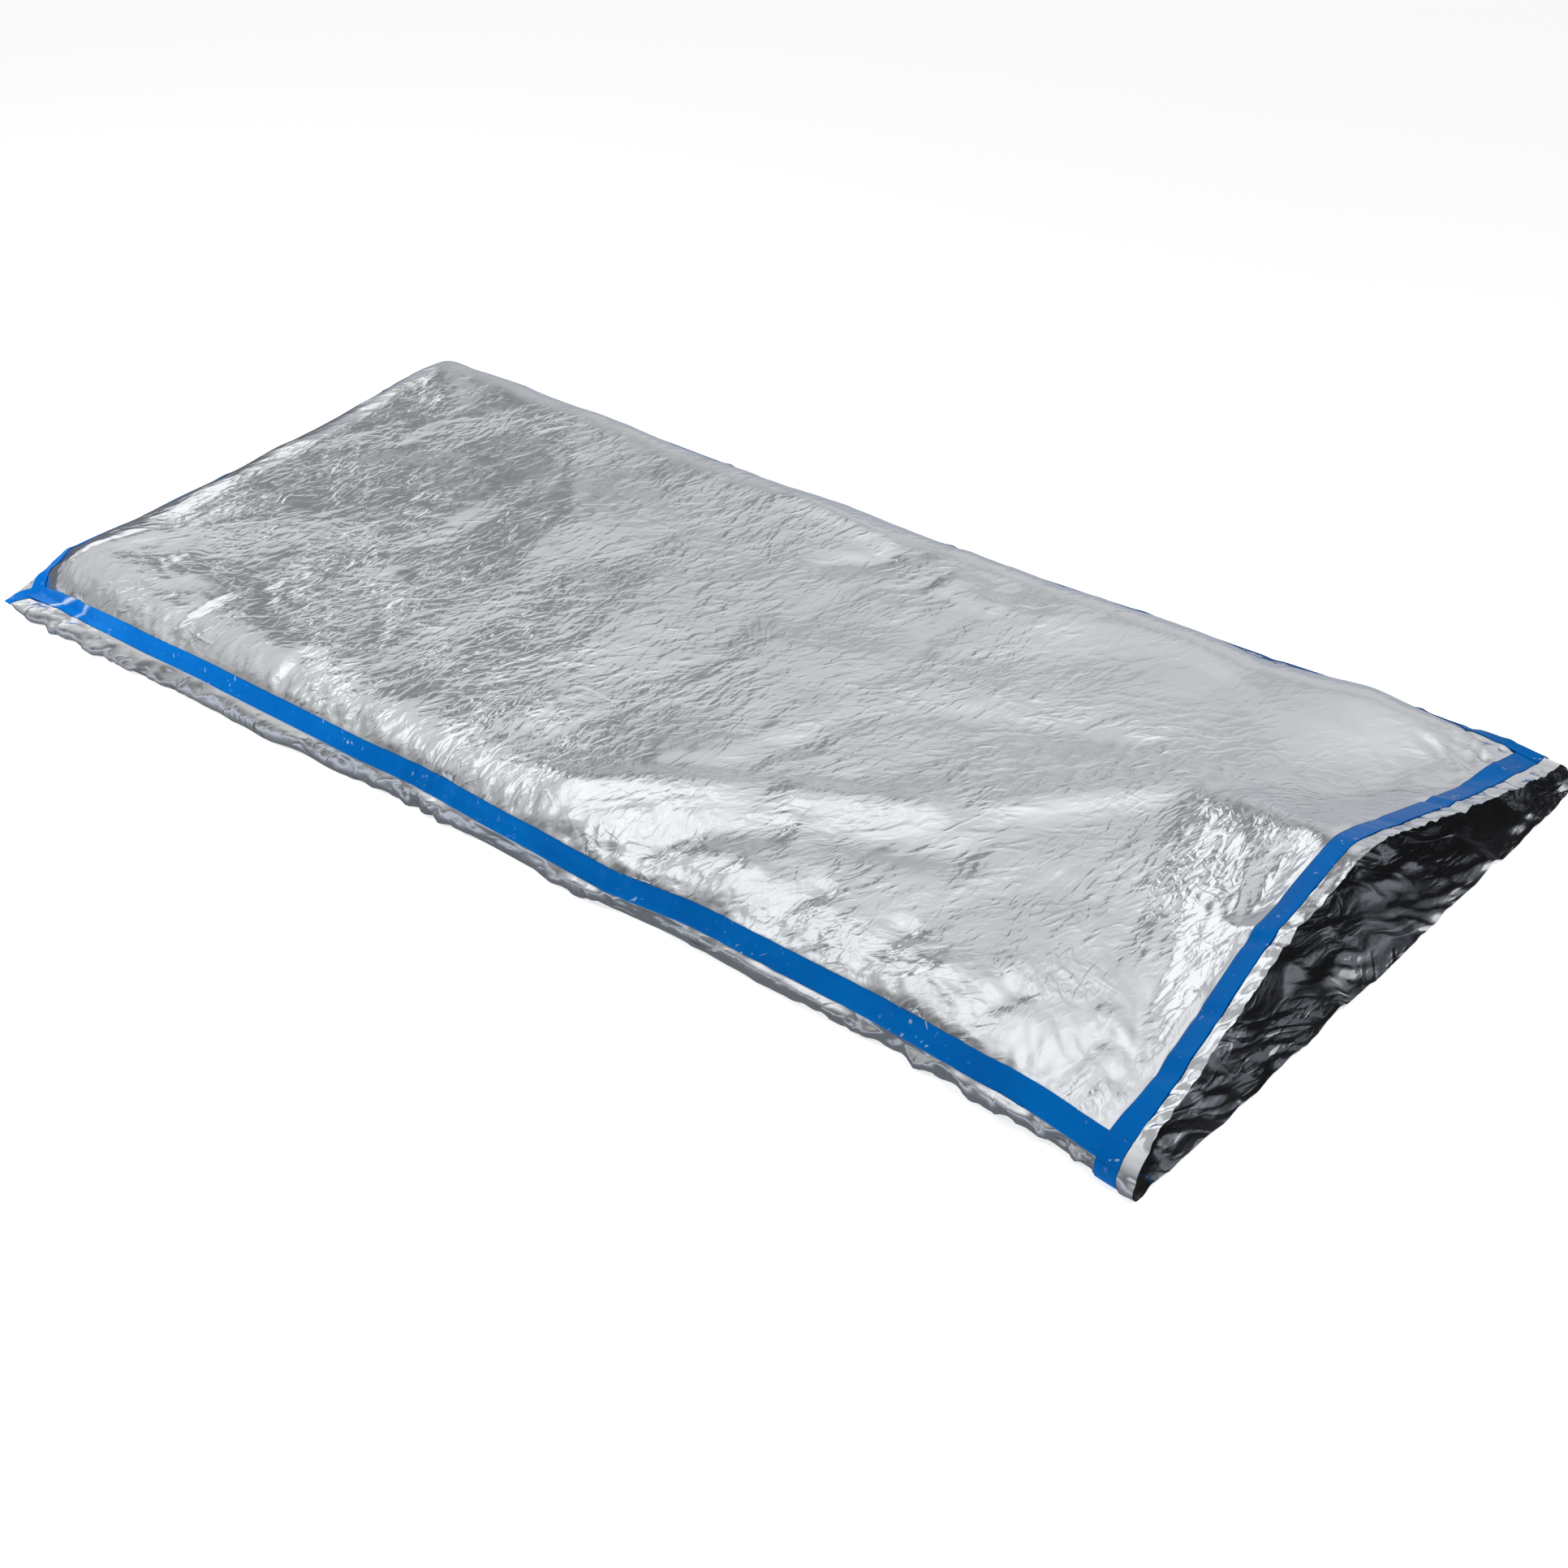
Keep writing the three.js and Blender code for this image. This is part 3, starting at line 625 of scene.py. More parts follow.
def new_group(name, sockets):
    """A node group with these inputs and a height to put out."""
    group = bpy.data.node_groups.new(name, "ShaderNodeTree")
    for key, kind in sockets:
        group.interface.new_socket(key, in_out="INPUT", socket_type="NodeSocket" + kind)
    group.interface.new_socket("Height", in_out="OUTPUT", socket_type="NodeSocketFloat")
    return group, group.nodes.new("NodeGroupInput").outputs, group.nodes.new("NodeGroupOutput")


# %% Node group for the finest creases
def crease_group():
    group, enter, leave = new_group("fine_creases", [("Spot", "Vector")])
    wander = flat_noise(group, enter["Spot"], 0.7, 1.0)
    sway = vector_maths(group, "MULTIPLY_ADD", wander["Color"], (0.5, 1.3, 0.0), enter["Spot"])
    squares = []
    for shift in ((0.0, 0.0, 0.0), (17.3, 9.1, 0.0)):  # two sets of scattered points
        moved = vector_maths(group, "ADD", sway, shift)
        cells = add_node(group, "TexVoronoi", {"Vector": moved, "Scale": 1.0}, voronoi_dimensions="2D")
        squares.append(maths(group, "POWER", cells.outputs["Distance"], 2.0))
    feed(group, leave, {"Height": maths(group, "SUBTRACT", *squares)})
    return group


FINE_CREASES = crease_group()
print("group", FINE_CREASES.name, "with", len(FINE_CREASES.nodes), "nodes")


# %% Node group for a patchwork of creases
def patchwork_group(name, patch, long, wide, spread):
    """Patches about patch metres wide, of creases long by wide metres; spread is in radians."""
    group, enter, leave = new_group(name, [("Spot", "Vector"), ("Turn", "Float")])
    wander = flat_noise(group, enter["Spot"], 0.7 / patch, 1.0)
    reach = (0.9 * patch, 0.9 * patch, 0.0)
    bent = vector_maths(group, "MULTIPLY_ADD", wander["Color"], reach, enter["Spot"])
    cell = {"Vector": bent, "Scale": 1 / patch}
    cells = add_node(group, "TexVoronoi", cell, voronoi_dimensions="2D").outputs
    edge = add_node(group, "TexVoronoi", cell, voronoi_dimensions="2D", feature="DISTANCE_TO_EDGE").outputs
    chance = add_node(group, "SeparateColor", {"Color": cells["Color"]}).outputs
    own = maths(group, "MULTIPLY_ADD", chance["Red"], spread, -spread / 2)
    local = vector_maths(group, "SUBTRACT", bent, cells["Position"])
    turned = turn_back(group, local, maths(group, "ADD", own, enter["Turn"]))
    # every patch takes its creases from another place
    apart = vector_maths(group, "MULTIPLY", cells["Color"], (37.0, 41.0, 0.0))
    stretched = vector_maths(group, "MULTIPLY_ADD", turned, (1 / long, 1 / wide, 0.0), apart)
    creases = add_node(group, "Group", {"Spot": stretched}, node_tree=FINE_CREASES)
    inside = map_range(group, edge["Distance"], "SMOOTHSTEP", from_max=0.2)
    faded = maths(group, "MULTIPLY", inside, map_range(group, chance["Green"], to_min=0.1, to_max=1.5))
    feed(group, leave, {"Height": maths(group, "MULTIPLY", faded, creases.outputs["Height"])})
    return group


BROAD_CREASES = patchwork_group("broad_creases", 0.105, 0.045, 0.015, 1.9)
print("group", BROAD_CREASES.name, "with", len(BROAD_CREASES.nodes), "nodes")


# %% Node group for streaks in one direction
def streak_group():
    vectors = [("Spot", "Vector"), ("Lay", "Vector"), ("Size", "Vector")]
    group, enter, leave = new_group("fine_streaks", vectors + [("Turn", "Float"), ("Rare", "Float")])
    # every direction reads the noise at another place
    apart = maths(group, "MULTIPLY", enter["Turn"], 13.7)
    shift = add_node(group, "CombineXYZ", {"X": apart, "Y": apart}).outputs["Vector"]
    turned = turn_back(group, enter["Spot"], enter["Turn"])
    stretched = vector_maths(group, "MULTIPLY_ADD", turned, enter["Size"], shift)
    middle = maths(group, "SUBTRACT", flat_noise(group, stretched, 1.0, 1.0, 0.5)["Fac"], 0.5)
    crest = maths(group, "MULTIPLY_ADD", middle, -2.0, maths(group, "ABSOLUTE", middle))
    spread = vector_maths(group, "MULTIPLY_ADD", enter["Spot"], (9.0, 9.0, 0.0), shift)
    cloud = flat_noise(group, spread, 1.0, 1.0)["Fac"]
    full = maths(group, "ADD", enter["Rare"], 0.17)
    there = map_range(group, cloud, "SMOOTHSTEP", from_min=enter["Rare"], from_max=full, to_min=0.04)
    twice = maths(group, "MULTIPLY", enter["Turn"], 2.0)
    way = {"X": maths(group, "COSINE", twice), "Y": maths(group, "SINE", twice)}
    agree = dot_product(group, enter["Lay"], add_node(group, "CombineXYZ", way).outputs["Vector"])
    amount = maths(group, "MULTIPLY", there, map_range(group, agree, from_min=-0.5, to_min=0.2))
    feed(group, leave, {"Height": maths(group, "MULTIPLY", crest, amount)})
    return group


FINE_STREAKS = streak_group()
# turn in degrees, length and width in metres, how rare, share of the height
STREAKS = [
    (28, 0.030, 0.0120, 0.42, 0.55),
    (54, 0.032, 0.0125, 0.38, 0.62),
    (76, 0.030, 0.0115, 0.42, 0.55),
    (101, 0.028, 0.0105, 0.44, 0.50),
    (135, 0.028, 0.0100, 0.46, 0.45),
    (46, 0.050, 0.0200, 0.48, 1.0),
    (92, 0.050, 0.0210, 0.47, 0.9),
]
print("group", FINE_STREAKS.name, "in", len(STREAKS), "directions")

# %% The film's material
FILM_TONES = [(0.3, (0.785, 0.805, 0.84, 1)), (0.7, (0.825, 0.845, 0.875, 1))]
INNER_SHADE_TONE = (0.68, 0.695, 0.72, 1)  # painted shade: the inner face is darker, so the inside of the bag reads dark
INNER_GLOW = 0.002  # painted light: the inner face glows a little


def new_material(name):
    material = bpy.data.materials.new(name)
    material.use_nodes = True
    return material, material.node_tree, material.node_tree.nodes["Principled BSDF"]


def silver_film(name, crease_mm, broad_share, streaks, rough):
    material, tree, shader = new_material(name)
    pattern = add_node(tree, "UVMap", uv_map="pattern").outputs["UV"]
    lay = add_node(tree, "Attribute", attribute_name="lay").outputs
    way = vector_maths(tree, "MULTIPLY_ADD", lay["Vector"], (2.0, 2.0, 0.0), (-1.0, -1.0, 0.0))
    split = add_node(tree, "SeparateColor", {"Color": lay["Color"]}).outputs
    cosine, sine = (maths(tree, "SUBTRACT", split[key], 0.5) for key in ("Red", "Green"))
    turn = maths(tree, "MULTIPLY", maths(tree, "ARCTAN2", sine, cosine), 0.5)
    broad = add_node(tree, "Group", {"Spot": pattern, "Turn": turn}, node_tree=BROAD_CREASES)
    height = maths(tree, "MULTIPLY", broad.outputs["Height"], broad_share)
    for degrees, long, wide, rare, share in streaks:
        layer = add_node(tree, "Group", {"Spot": pattern, "Lay": way}, node_tree=FINE_STREAKS)
        feed(tree, layer, {"Size": (1 / long, 1 / wide, 0.0), "Turn": math.radians(degrees), "Rare": rare})
        height = maths(tree, "MULTIPLY_ADD", layer.outputs["Height"], share, height)
    strong = maths(tree, "MULTIPLY", height, split["Blue"])
    bump = add_node(tree, "Bump", {"Height": strong, "Strength": 1.0, "Distance": crease_mm * MM})
    place = add_node(tree, "TexCoord").outputs["Object"]
    haze = add_node(tree, "TexNoise", {"Vector": place, "Scale": 5.0, "Detail": 3.0}).outputs["Fac"]
    inner = add_node(tree, "NewGeometry").outputs["Backfacing"]
    feed(tree, shader, {
        # painted shade: back faces take a darker base colour
        "Base Color": mix_tones(tree, inner, add_ramp(tree, haze, FILM_TONES), INNER_SHADE_TONE),
        "Metallic": 1.0,
        "Roughness": map_range(tree, haze, to_min=rough, to_max=rough + 0.09),
        "Normal": bump.outputs["Normal"],
        # painted light: back faces glow faintly
        "Emission Color": inner,
        "Emission Strength": INNER_GLOW,
    })
    return material


TOP_FILM = silver_film("silver_film", 1.4, 0.45, STREAKS, 0.08)
BASE_FILM = silver_film("crumpled_silver_film", 1.4, 1.5, STREAKS[2:4], 0.17)
for film in (TOP_FILM, BASE_FILM):
    print("material", film.name, "with", len(film.node_tree.nodes), "nodes")

# %% [markdown]
# ## Wrinkles that tape and film share
# Where tape crosses a pucker, tape and film bend together. So the few cross wrinkles along each seam
# are tables too: the film under the tape and the tape itself read the same rows, and stay the same
# small distance apart.

# %% Cross wrinkles along the seams
# place along the seam in mm (x for a side, y for foot and mouth), width, height
NEAR_WRINKLES = [
    (-945, 9, 2.2), (-915, 7, -1.6), (-891, 8, 2.0), (-640, 14, -1.2), (-386, 16, 1.2),
    (-168, 7, 1.8), (-142, 7, -1.6), (-118, 6, 1.6), (-90, 8, -1.4), (-64, 7, 1.6),
    (84, 14, -1.2), (222, 7, 2.0), (248, 7, -2.0), (330, 12, 1.2), (408, 8, -1.8),
    (459, 7, 1.8), (485, 7, -1.6), (510, 8, 1.8), (610, 10, -2.0), (685, 12, 1.6),
    (780, 9, -1.8), (825, 7, 2.0), (854, 6, -2.2), (885, 7, 2.2), (964, 8, -1.8),
]
FAR_WRINKLES = [
    (-820, 12, 1.6), (-520, 14, -1.6), (-343, 9, 2.0), (-150, 12, -1.4), (96, 10, 2.2),
    (240, 12, -1.6), (430, 14, 1.4), (640, 12, -1.6), (860, 9, 2.2), (930, 8, -2.0), (985, 8, 2.0),
]
FOOT_WRINKLES = [(-330, 9, 1.8), (-210, 12, -1.6), (-40, 14, 1.4), (120, 10, -1.8), (300, 10, 1.8)]
MOUTH_WRINKLES = [
    (-395, 9, 1.2), (-330, 9, -1.6), (-306, 9, 1.2), (-253, 9, -1.5), (-160, 8, -2.2), (-141, 7, 1.6),
    (-97, 9, -0.8), (60, 12, 0.8), (103, 10, -1.1), (212, 7, -1.7), (230, 7, 1.5), (306, 8, 1.3),
    (385, 8, -1.2),
]


def wrinkle(rows, place):
    return sum(height * np.exp(-(((place - at) / width) ** 2)) for at, width, height in rows)


print(len(NEAR_WRINKLES), "wrinkles on the near side,", len(FAR_WRINKLES), "on the far side")

# %% [markdown]
# ## The top sheet
# A fine grid over the whole sheet, moved onto the form, then pushed along its own normals by the
# crinkles. Under a tape the film is held flat, so the crinkles fade out there and the seam's own
# wrinkles take over.

# %% Where the tapes hold the top sheet
TOP_COLUMNS, TOP_ROWS = 466, 198
ROW_EASE = 0.07  # rows lie closer on the shoulders, where the film is steep


def shares(count):
    """From 0 to 1 in count steps."""
    return np.arange(count + 1) / count


row_share = shares(TOP_ROWS)
rows_b = row_share - ROW_EASE * np.sin(2 * np.pi * row_share) / 2
a, b = np.meshgrid(shares(TOP_COLUMNS), rows_b, indexing="ij")
top_points = top_form(a, b)
top_x, top_y = top_points[..., 0], top_points[..., 1]
# how far from each seam, where 1 is the tape's edge, and how far from the mouth tape in mm
from_near = b / near_tape_b(a[:, 0])
from_far = (1 - b) / (1 - far_tape_b(a[:, 0]))
from_foot = a / FOOT_TAPE_IN
before_tape = (MOUTH_TAPE_IN - a) * TOP_LENGTH
past_tape = (a - MOUTH_TAPE_OUT) * TOP_LENGTH
near_free = smooth(from_near, 1.0, 1.8)
far_free = smooth(from_far, 1.05, 1.6)
foot_free = smooth(from_foot, 1.1, 2.6)
mouth_free = np.maximum(smooth(before_tape, 1, 16), 0.6 * smooth(past_tape, 1, 9))
free = near_free * far_free * foot_free * mouth_free
open_film = smooth(from_near, 1.0, 1.3) * smooth(from_far, 1.0, 1.3) * smooth(from_foot, 1.0, 1.3)
print("free of tape:", round(float(np.mean(free)), 2), "of the top sheet's points")

# %% Build the top sheet
# turn in degrees, facet length and width, tilt in degrees, seed
MARGIN_FACETS = [(20, 34, 13, 15, 97)]  # bare film past the mouth tape
SEAM_FACETS = [(78, 70, 20, 11, 98), (125, 50, 17, 9, 99)]  # a strip beside the near seam


def crumpled(x, y, rows):
    return sum(facets(x, y, *row) for row in rows)


held = (
    (1 - near_free) * wrinkle(NEAR_WRINKLES, top_x)
    + (1 - far_free) * wrinkle(FAR_WRINKLES, top_x)
    + (1 - foot_free) * wrinkle(FOOT_WRINKLES, top_y)
    + smooth(-before_tape, -20, 0) * wrinkle(MOUTH_WRINKLES, top_y) * near_free * far_free
)
margin = smooth(past_tape, 1, 7) * near_free * far_free
by_seam = near_free * foot_free * mouth_free * (1 - smooth(from_near, 2.5, 6.5))
by_seam = by_seam * (0.6 + 0.4 * np.sin(top_x / 70))
relief = top_relief(top_x, top_y) * free + held + margin * crumpled(top_x, top_y, MARGIN_FACETS)
relief += by_seam * crumpled(top_x, top_y, SEAM_FACETS)
top_laid = top_points + outward(top_points) * relief[..., None]
top_map = np.stack([top_x, arc_lengths(top_points, 1) + NEAR_Y], axis=-1)
top_lay = crinkle_lay(top_x, top_y)
top_lay[..., 2] = (top_lay[..., 2] + 0.5 * by_seam) * open_film * mouth_free
top_mesh = lay_cloth("top_film_sheet", top_laid, top_map, top_lay)
top_film = add_piece("top_film_sheet", top_mesh, TOP_FILM)
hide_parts("top_film")
print("top sheet", len(top_mesh.polygons), "faces,", round(film_area(top_mesh), 3), "m2")

# %% [markdown]
# ## The bottom sheet
# Two grids: the floor, which lies on the ground, and one long strip for the rolled rim round three
# sides. They share their edge points, so merging doubles makes one sheet of them. The rim hangs
# loose below the tape and is the most crumpled part of the bag; the lip at the mouth is wavy.

# %% Sizes of the floor and the lip
FLOOR_COLUMNS, FLOOR_ROWS, RIM_ROWS = 380, 190, 22
GROUND = 0.5  # the film's middle lies this far above the surface
LIP_DEPTH = 95.0
# place from the near corner to the far one, reach past the mouth corners, lift
LIP_REACH, LIP_LIFT = 1, 2
LIP_WAVES = [
    (0.00, 5, 0), (0.06, 8, 5), (0.12, 10, 8), (0.18, 11, 2), (0.24, 12, 1), (0.31, 11, 4),
    (0.38, 12, 3), (0.45, 11, 1), (0.52, 11, 1), (0.59, 12, 3), (0.66, 12, 3), (0.73, 11, 2),
    (0.80, 11, 2), (0.86, 12, 4), (0.92, 12, 3), (0.96, 10, 3), (1.00, 6, 0),
]
# turn in degrees, facet length and width, tilt in degrees, seed
FLOOR_FACETS = [(70, 90, 40, 4, 81), (15, 120, 60, 3, 82)]
LIP_FACETS = [(-35, 150, 60, 9, 83), (85, 90, 36, 8, 84)]
STEEP_FACETS = [(60, 46, 20, 15, 85)]  # these catch the light along the lip and in patches
# middle x and y, reach along and across, turn in degrees
STEEP_PATCHES = [(975, -300, 70, 50, -30), (985, 60, 60, 40, -30), (900, 250, 110, 70, -30)]
print(len(LIP_WAVES), "places along the lip")

# %% The floor and the lip
fa, fb = np.meshgrid(shares(FLOOR_COLUMNS), shares(FLOOR_ROWS), indexing="ij")
zero = np.zeros_like(fa)
edge_near, edge_far, edge_foot = near_rim(fa, zero), far_rim(fa, zero), foot_rim(fb, zero)
edge_lip = mix(near_rim(zero + 1, zero), far_rim(zero + 1, zero), fb[..., None])
corners = mix(mix(edge_foot[:, :1], edge_foot[:, -1:], fb[..., None]), edge_lip, fa[..., None])
floor_points = mix(edge_near, edge_far, fb[..., None]) + mix(edge_foot, edge_lip, fa[..., None]) - corners
grown = smooth(fa, 1 - LIP_DEPTH / LENGTH, 1)
floor_points[..., 0] += (MOUTH_X + eased(LIP_WAVES, LIP_REACH, fb) - edge_lip[..., 0]) * grown
inside = smooth(np.minimum(fb, 1 - fb), 0.0, 0.03) * smooth(fa, 0.0, 0.02)
floor_x, floor_y = floor_points[..., 0], floor_points[..., 1]
by_mouth = smooth(floor_x, 620, 900)
crumple = crumpled(floor_x, floor_y, FLOOR_FACETS)
steep = smooth(floor_x, 1005, 1050) + sum(patch_window(floor_x, floor_y, *row) for row in STEEP_PATCHES)
lip_crumple = crumpled(floor_x, floor_y, LIP_FACETS)
lip_crumple = lip_crumple + np.minimum(steep, 1) * crumpled(floor_x, floor_y, STEEP_FACETS)
lift = np.maximum(0, crumple + 0.8) * (1 - by_mouth) + by_mouth * np.maximum(0, lip_crumple + 3)
floor_points[..., 2] = GROUND + lift * inside + eased(LIP_WAVES, LIP_LIFT, fb) * grown
floor_map = np.stack([floor_x, floor_y], axis=-1)
floor_lay = np.stack([0 * grown, 0.5 + 0 * grown, 0.3 + 0.7 * by_mouth], axis=-1)
# rows run from far to near, so that the sheet faces down, out of the bag
floor_mesh = lay_cloth("floor_part", floor_points[:, ::-1], floor_map[:, ::-1], floor_lay[:, ::-1])
print("floor", len(floor_mesh.polygons), "faces")

# %% The rolled rim
RIM_FACETS = [(42, 80, 26, 15, 91), (128, 60, 20, 13, 92)]
RIM_BROAD_FACETS = [(12, 210, 80, 7, 93)]

level = shares(RIM_ROWS)
along_side, along_foot = shares(FLOOR_COLUMNS), shares(FLOOR_ROWS)
rim_edges = [(far_rim, 1 - along_side), (foot_rim, 1 - along_foot), (near_rim, along_side)]


def rim_strip(point_at, along):
    return point_at(along[:, None] + 0 * level, level + 0 * along[:, None])


def one_run(strips):
    """Far side, foot and near side in one; each starts where the one before it ends."""
    far, foot, near = strips
    return np.concatenate([far, foot[1:], near[1:]])


rim_points = one_run(rim_strip(*edge) for edge in rim_edges)
rim_edge = one_run(tape_edge(*edge, 1.0, 0.0) for edge in rim_edges)[:, None]
rim_x = rim_points[..., 0]
run = arc_lengths(rim_points, 0)[:, -1:] + 0 * level
climb = arc_lengths(rim_points, 1)
far_corner, near_corner = FLOOR_COLUMNS, FLOOR_COLUMNS + FLOOR_ROWS
column = np.arange(len(rim_points))[:, None]
under_tape = smooth(level / rim_edge, 0.86, 0.99)
tape_from, tape_to = MOUTH_X - MOUTH_MARGIN - TAPE_WIDTH, MOUTH_X - MOUTH_MARGIN
under_mouth = smooth(rim_x, tape_from - 8, tape_from) * (1 - smooth(rim_x, tape_to, tape_to + 6))
at_corner = np.minimum(np.abs(run - run[far_corner, 0]), np.abs(run - run[near_corner, 0]))
rim_free = (1 - under_tape) * (1 - under_mouth) * smooth(at_corner, 18, 34)
rough = 0.55 + 0.45 * np.sin(run / 83 + 1.7 * np.sin(run / 217))
rim_crumple = rough * crumpled(run, climb, RIM_FACETS) + crumpled(run, climb, RIM_BROAD_FACETS)
foot_held = wrinkle(FOOT_WRINKLES, rim_points[..., 1])
rim_held = np.where(column >= near_corner, wrinkle(NEAR_WRINKLES, rim_x), foot_held)
rim_held = under_tape * np.where(column <= far_corner, wrinkle(FAR_WRINKLES, rim_x), rim_held)
rim_relief = rim_crumple * rim_free * smooth(level, 0.0, 0.16) + rim_held
rim_laid = rim_points + outward(rim_points) * rim_relief[..., None]
rim_laid[..., 2] = np.maximum(rim_laid[..., 2], GROUND)
rim_lay = np.stack([0.5 + 0 * rim_x, 1.0 + 0 * rim_x, 1.5 * rim_free], axis=-1)
rim_mesh = lay_cloth("rim_part", rim_laid, np.stack([run, climb], axis=-1), rim_lay)
print("rim", len(rim_mesh.polygons), "faces")


# %% One sheet of floor and rim
def joined_mesh(name, parts, same_point=None):
    """One smooth mesh of several; points closer than same_point, in mm, become one."""
    bm = bmesh.new()
    for part in parts:
        bm.from_mesh(part)
    if same_point:
        bmesh.ops.remove_doubles(bm, verts=bm.verts, dist=same_point * MM)
    mesh = finished_mesh(bm, name)
    mesh.shade_smooth()
    return mesh


base_mesh = joined_mesh("base_film_sheet", (floor_mesh, rim_mesh), same_point=0.05)
base_film = add_piece("base_film_sheet", base_mesh, BASE_FILM)
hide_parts("base_film")
print("bottom sheet", len(base_mesh.polygons), "faces,", round(film_area(base_mesh), 3), "m2")

# %% [markdown]
# ## Blue tape
# Plastic tape with a soft sheen. Its colour is nearly even, so what tells it from paint is how it
# bends: fine cross ripples where it was pulled tight over soft film. Small pale specks in patches,
# and a few pale lines along creases where it was folded sharply, are painted highlights where the
# wrinkled tape catches the light.

# %% The tape's material
TAPE_TONES = [(0.3, (0.0, 0.135, 0.50, 1)), (0.7, (0.0, 0.180, 0.61, 1))]
# painted highlight: pale tone of the glints on the tape's specks and creases
GLINT_TONE = (0.62, 0.74, 0.88, 1)


def stretched_noise(tree, spot, scale, detail, distortion=0.0):
    stretch = add_node(tree, "Mapping", {"Vector": spot, "Scale": scale})
    return flat_noise(tree, stretch.outputs["Vector"], 1.0, detail, distortion)["Fac"]


def blue_tape(name):
    material, tree, shader = new_material(name)
    pattern = add_node(tree, "UVMap", uv_map="pattern").outputs["UV"]
    ripple = stretched_noise(tree, pattern, (95.0, 14.0, 1.0), 2.0)
    bump = add_node(tree, "Bump", {"Height": ripple, "Strength": 1.0, "Distance": 0.5 * MM})
    place = add_node(tree, "TexCoord").outputs["Object"]
    cloud = add_node(tree, "TexNoise", {"Vector": place, "Scale": 9.0, "Detail": 3.0}).outputs["Fac"]
    # painted highlights: pale specks in patches, and pale lines where the lay attribute marks a crease
    specks = stretched_noise(tree, pattern, (120.0, 75.0, 1.0), 1.0, 0.3)
    speck = map_range(tree, specks, "SMOOTHSTEP", from_min=0.70, from_max=0.78)
    where = flat_noise(tree, pattern, 7.0, 2.0)["Fac"]
    glint_patches = map_range(tree, where, from_min=0.48, from_max=0.66, to_max=0.6)
    crease_glint = add_node(tree, "Attribute", attribute_name="lay").outputs["Fac"]
    pale = {0: maths(tree, "MULTIPLY", speck, glint_patches), 1: crease_glint}
    glints = add_node(tree, "Math", pale, operation="ADD", use_clamp=True).outputs["Value"]
    feed(tree, shader, {
        "Base Color": mix_tones(tree, glints, add_ramp(tree, cloud, TAPE_TONES), GLINT_TONE),
        "Roughness": map_range(tree, cloud, to_min=0.18, to_max=0.34),
        "Normal": bump.outputs["Normal"],
        "Specular IOR Level": 0.05,
    })
    return material


TAPE = blue_tape("blue_tape")
print("material", TAPE.name, "with", len(TAPE.node_tree.nodes), "nodes")

# %% [markdown]
# ## The four tapes
# Three tapes lie over the seams they close, half on either sheet, and one runs along the mouth. We
# sample the films along and across each strip, lift it a millimetre off them, and give it a thin
# wall. A side tape is the last one on, so it climbs over the foot tape and the mouth tape.

# %% Helper for a strip of tape
TAPE_LIFT = 1.0  # outer face of the tape above the film, in mm
TAPE_THICK = 0.5
LAP = 0.9  # more lift where a tape passes over another
SIDE_COLUMNS, ACROSS = 440, 10


# the last argument is a painted highlight along creases, carried in the lay attribute
def tape_part(name, points, relief, along_axis, crease_glint=0.0):
    laid = points + outward(points) * (TAPE_LIFT + relief)[..., None]
    flat = np.stack([arc_lengths(points, along_axis), arc_lengths(points, 1 - along_axis)], axis=-1)
    return lay_cloth(name, laid, flat, np.zeros(points.shape) + np.asarray(crease_glint)[..., None])


def add_tape(name, node, *parts):
    mesh = joined_mesh(name, parts)
    piece = add_piece(name, mesh, TAPE)
    wall = piece.modifiers.new("wall", "SOLIDIFY")
    wall.thickness = TAPE_THICK * MM
    wall.offset = -1.0
    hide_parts(node)
    print(name, len(mesh.polygons), "faces")
    return piece


def over_seam(rim_at, top_at, along, across):
    """Points across a seam: across -1 is the tape's edge on the rim, 0 the seam, 1 its edge on top."""
    rim_t = 1 - np.clip(-across, 0, 1) * (1 - tape_edge(rim_at, along, 1.0, 0.0)[:, None])
    on_rim = rim_at(along[:, None] + 0 * across, rim_t)
    on_top = top_at(along[:, None] + 0 * across, np.clip(across, 0, 1))
    return np.where((across < 0)[..., None], on_rim, on_top)


# %% Side tapes
# painted highlights along creases by the foot: x on the seam, slant from the rim to the top, width,
# strength
NEAR_CREASE_GLINTS = [(-950, 22, 5.0, 0.95), (-896, 8, 4.0, 0.6)]

tape_a = shares(SIDE_COLUMNS) * MOUTH_TAPE_OUT
near_b, far_b = near_tape_b(tape_a), far_tape_b(tape_a)
across = np.linspace(-1, 1, ACROSS + 1) + 0 * tape_a[:, None]
near_points = over_seam(near_rim, lambda along, w: top_form(along, w * near_b), tape_a, across)
far_points = over_seam(far_rim, lambda along, w: top_form(along, 1 - w * (1 - far_b)), tape_a, -across)
over_foot = 1 - smooth(tape_a * TOP_LENGTH, 30, 46)
over_mouth = smooth((tape_a - MOUTH_TAPE_IN) * TOP_LENGTH, -12, -2)
lap = LAP * (over_foot + over_mouth)[:, None]
near_relief = wrinkle(NEAR_WRINKLES, near_points[..., 0]) + lap
far_relief = wrinkle(FAR_WRINKLES, far_points[..., 0]) + lap
near_crease_glint = 0
for at, slant, width, strength in NEAR_CREASE_GLINTS:
    off = (near_points[..., 0] - at - slant * across) / width
    near_crease_glint = near_crease_glint + strength * np.exp(-(off**2))
near_strip = tape_part("near_strip", near_points, near_relief, 0, near_crease_glint)
near_tape = add_tape("near_side_tape_strip", "near_side_tape", near_strip)
far_strip = tape_part("far_strip", far_points, far_relief, 0)
far_tape = add_tape("far_side_tape_strip", "far_side_tape", far_strip)

# %% Foot tape
FOOT_COLUMNS = 170
FLAP_FROM = 0.10  # place on the rim, from surface to seam, where the tape's folded ends stop

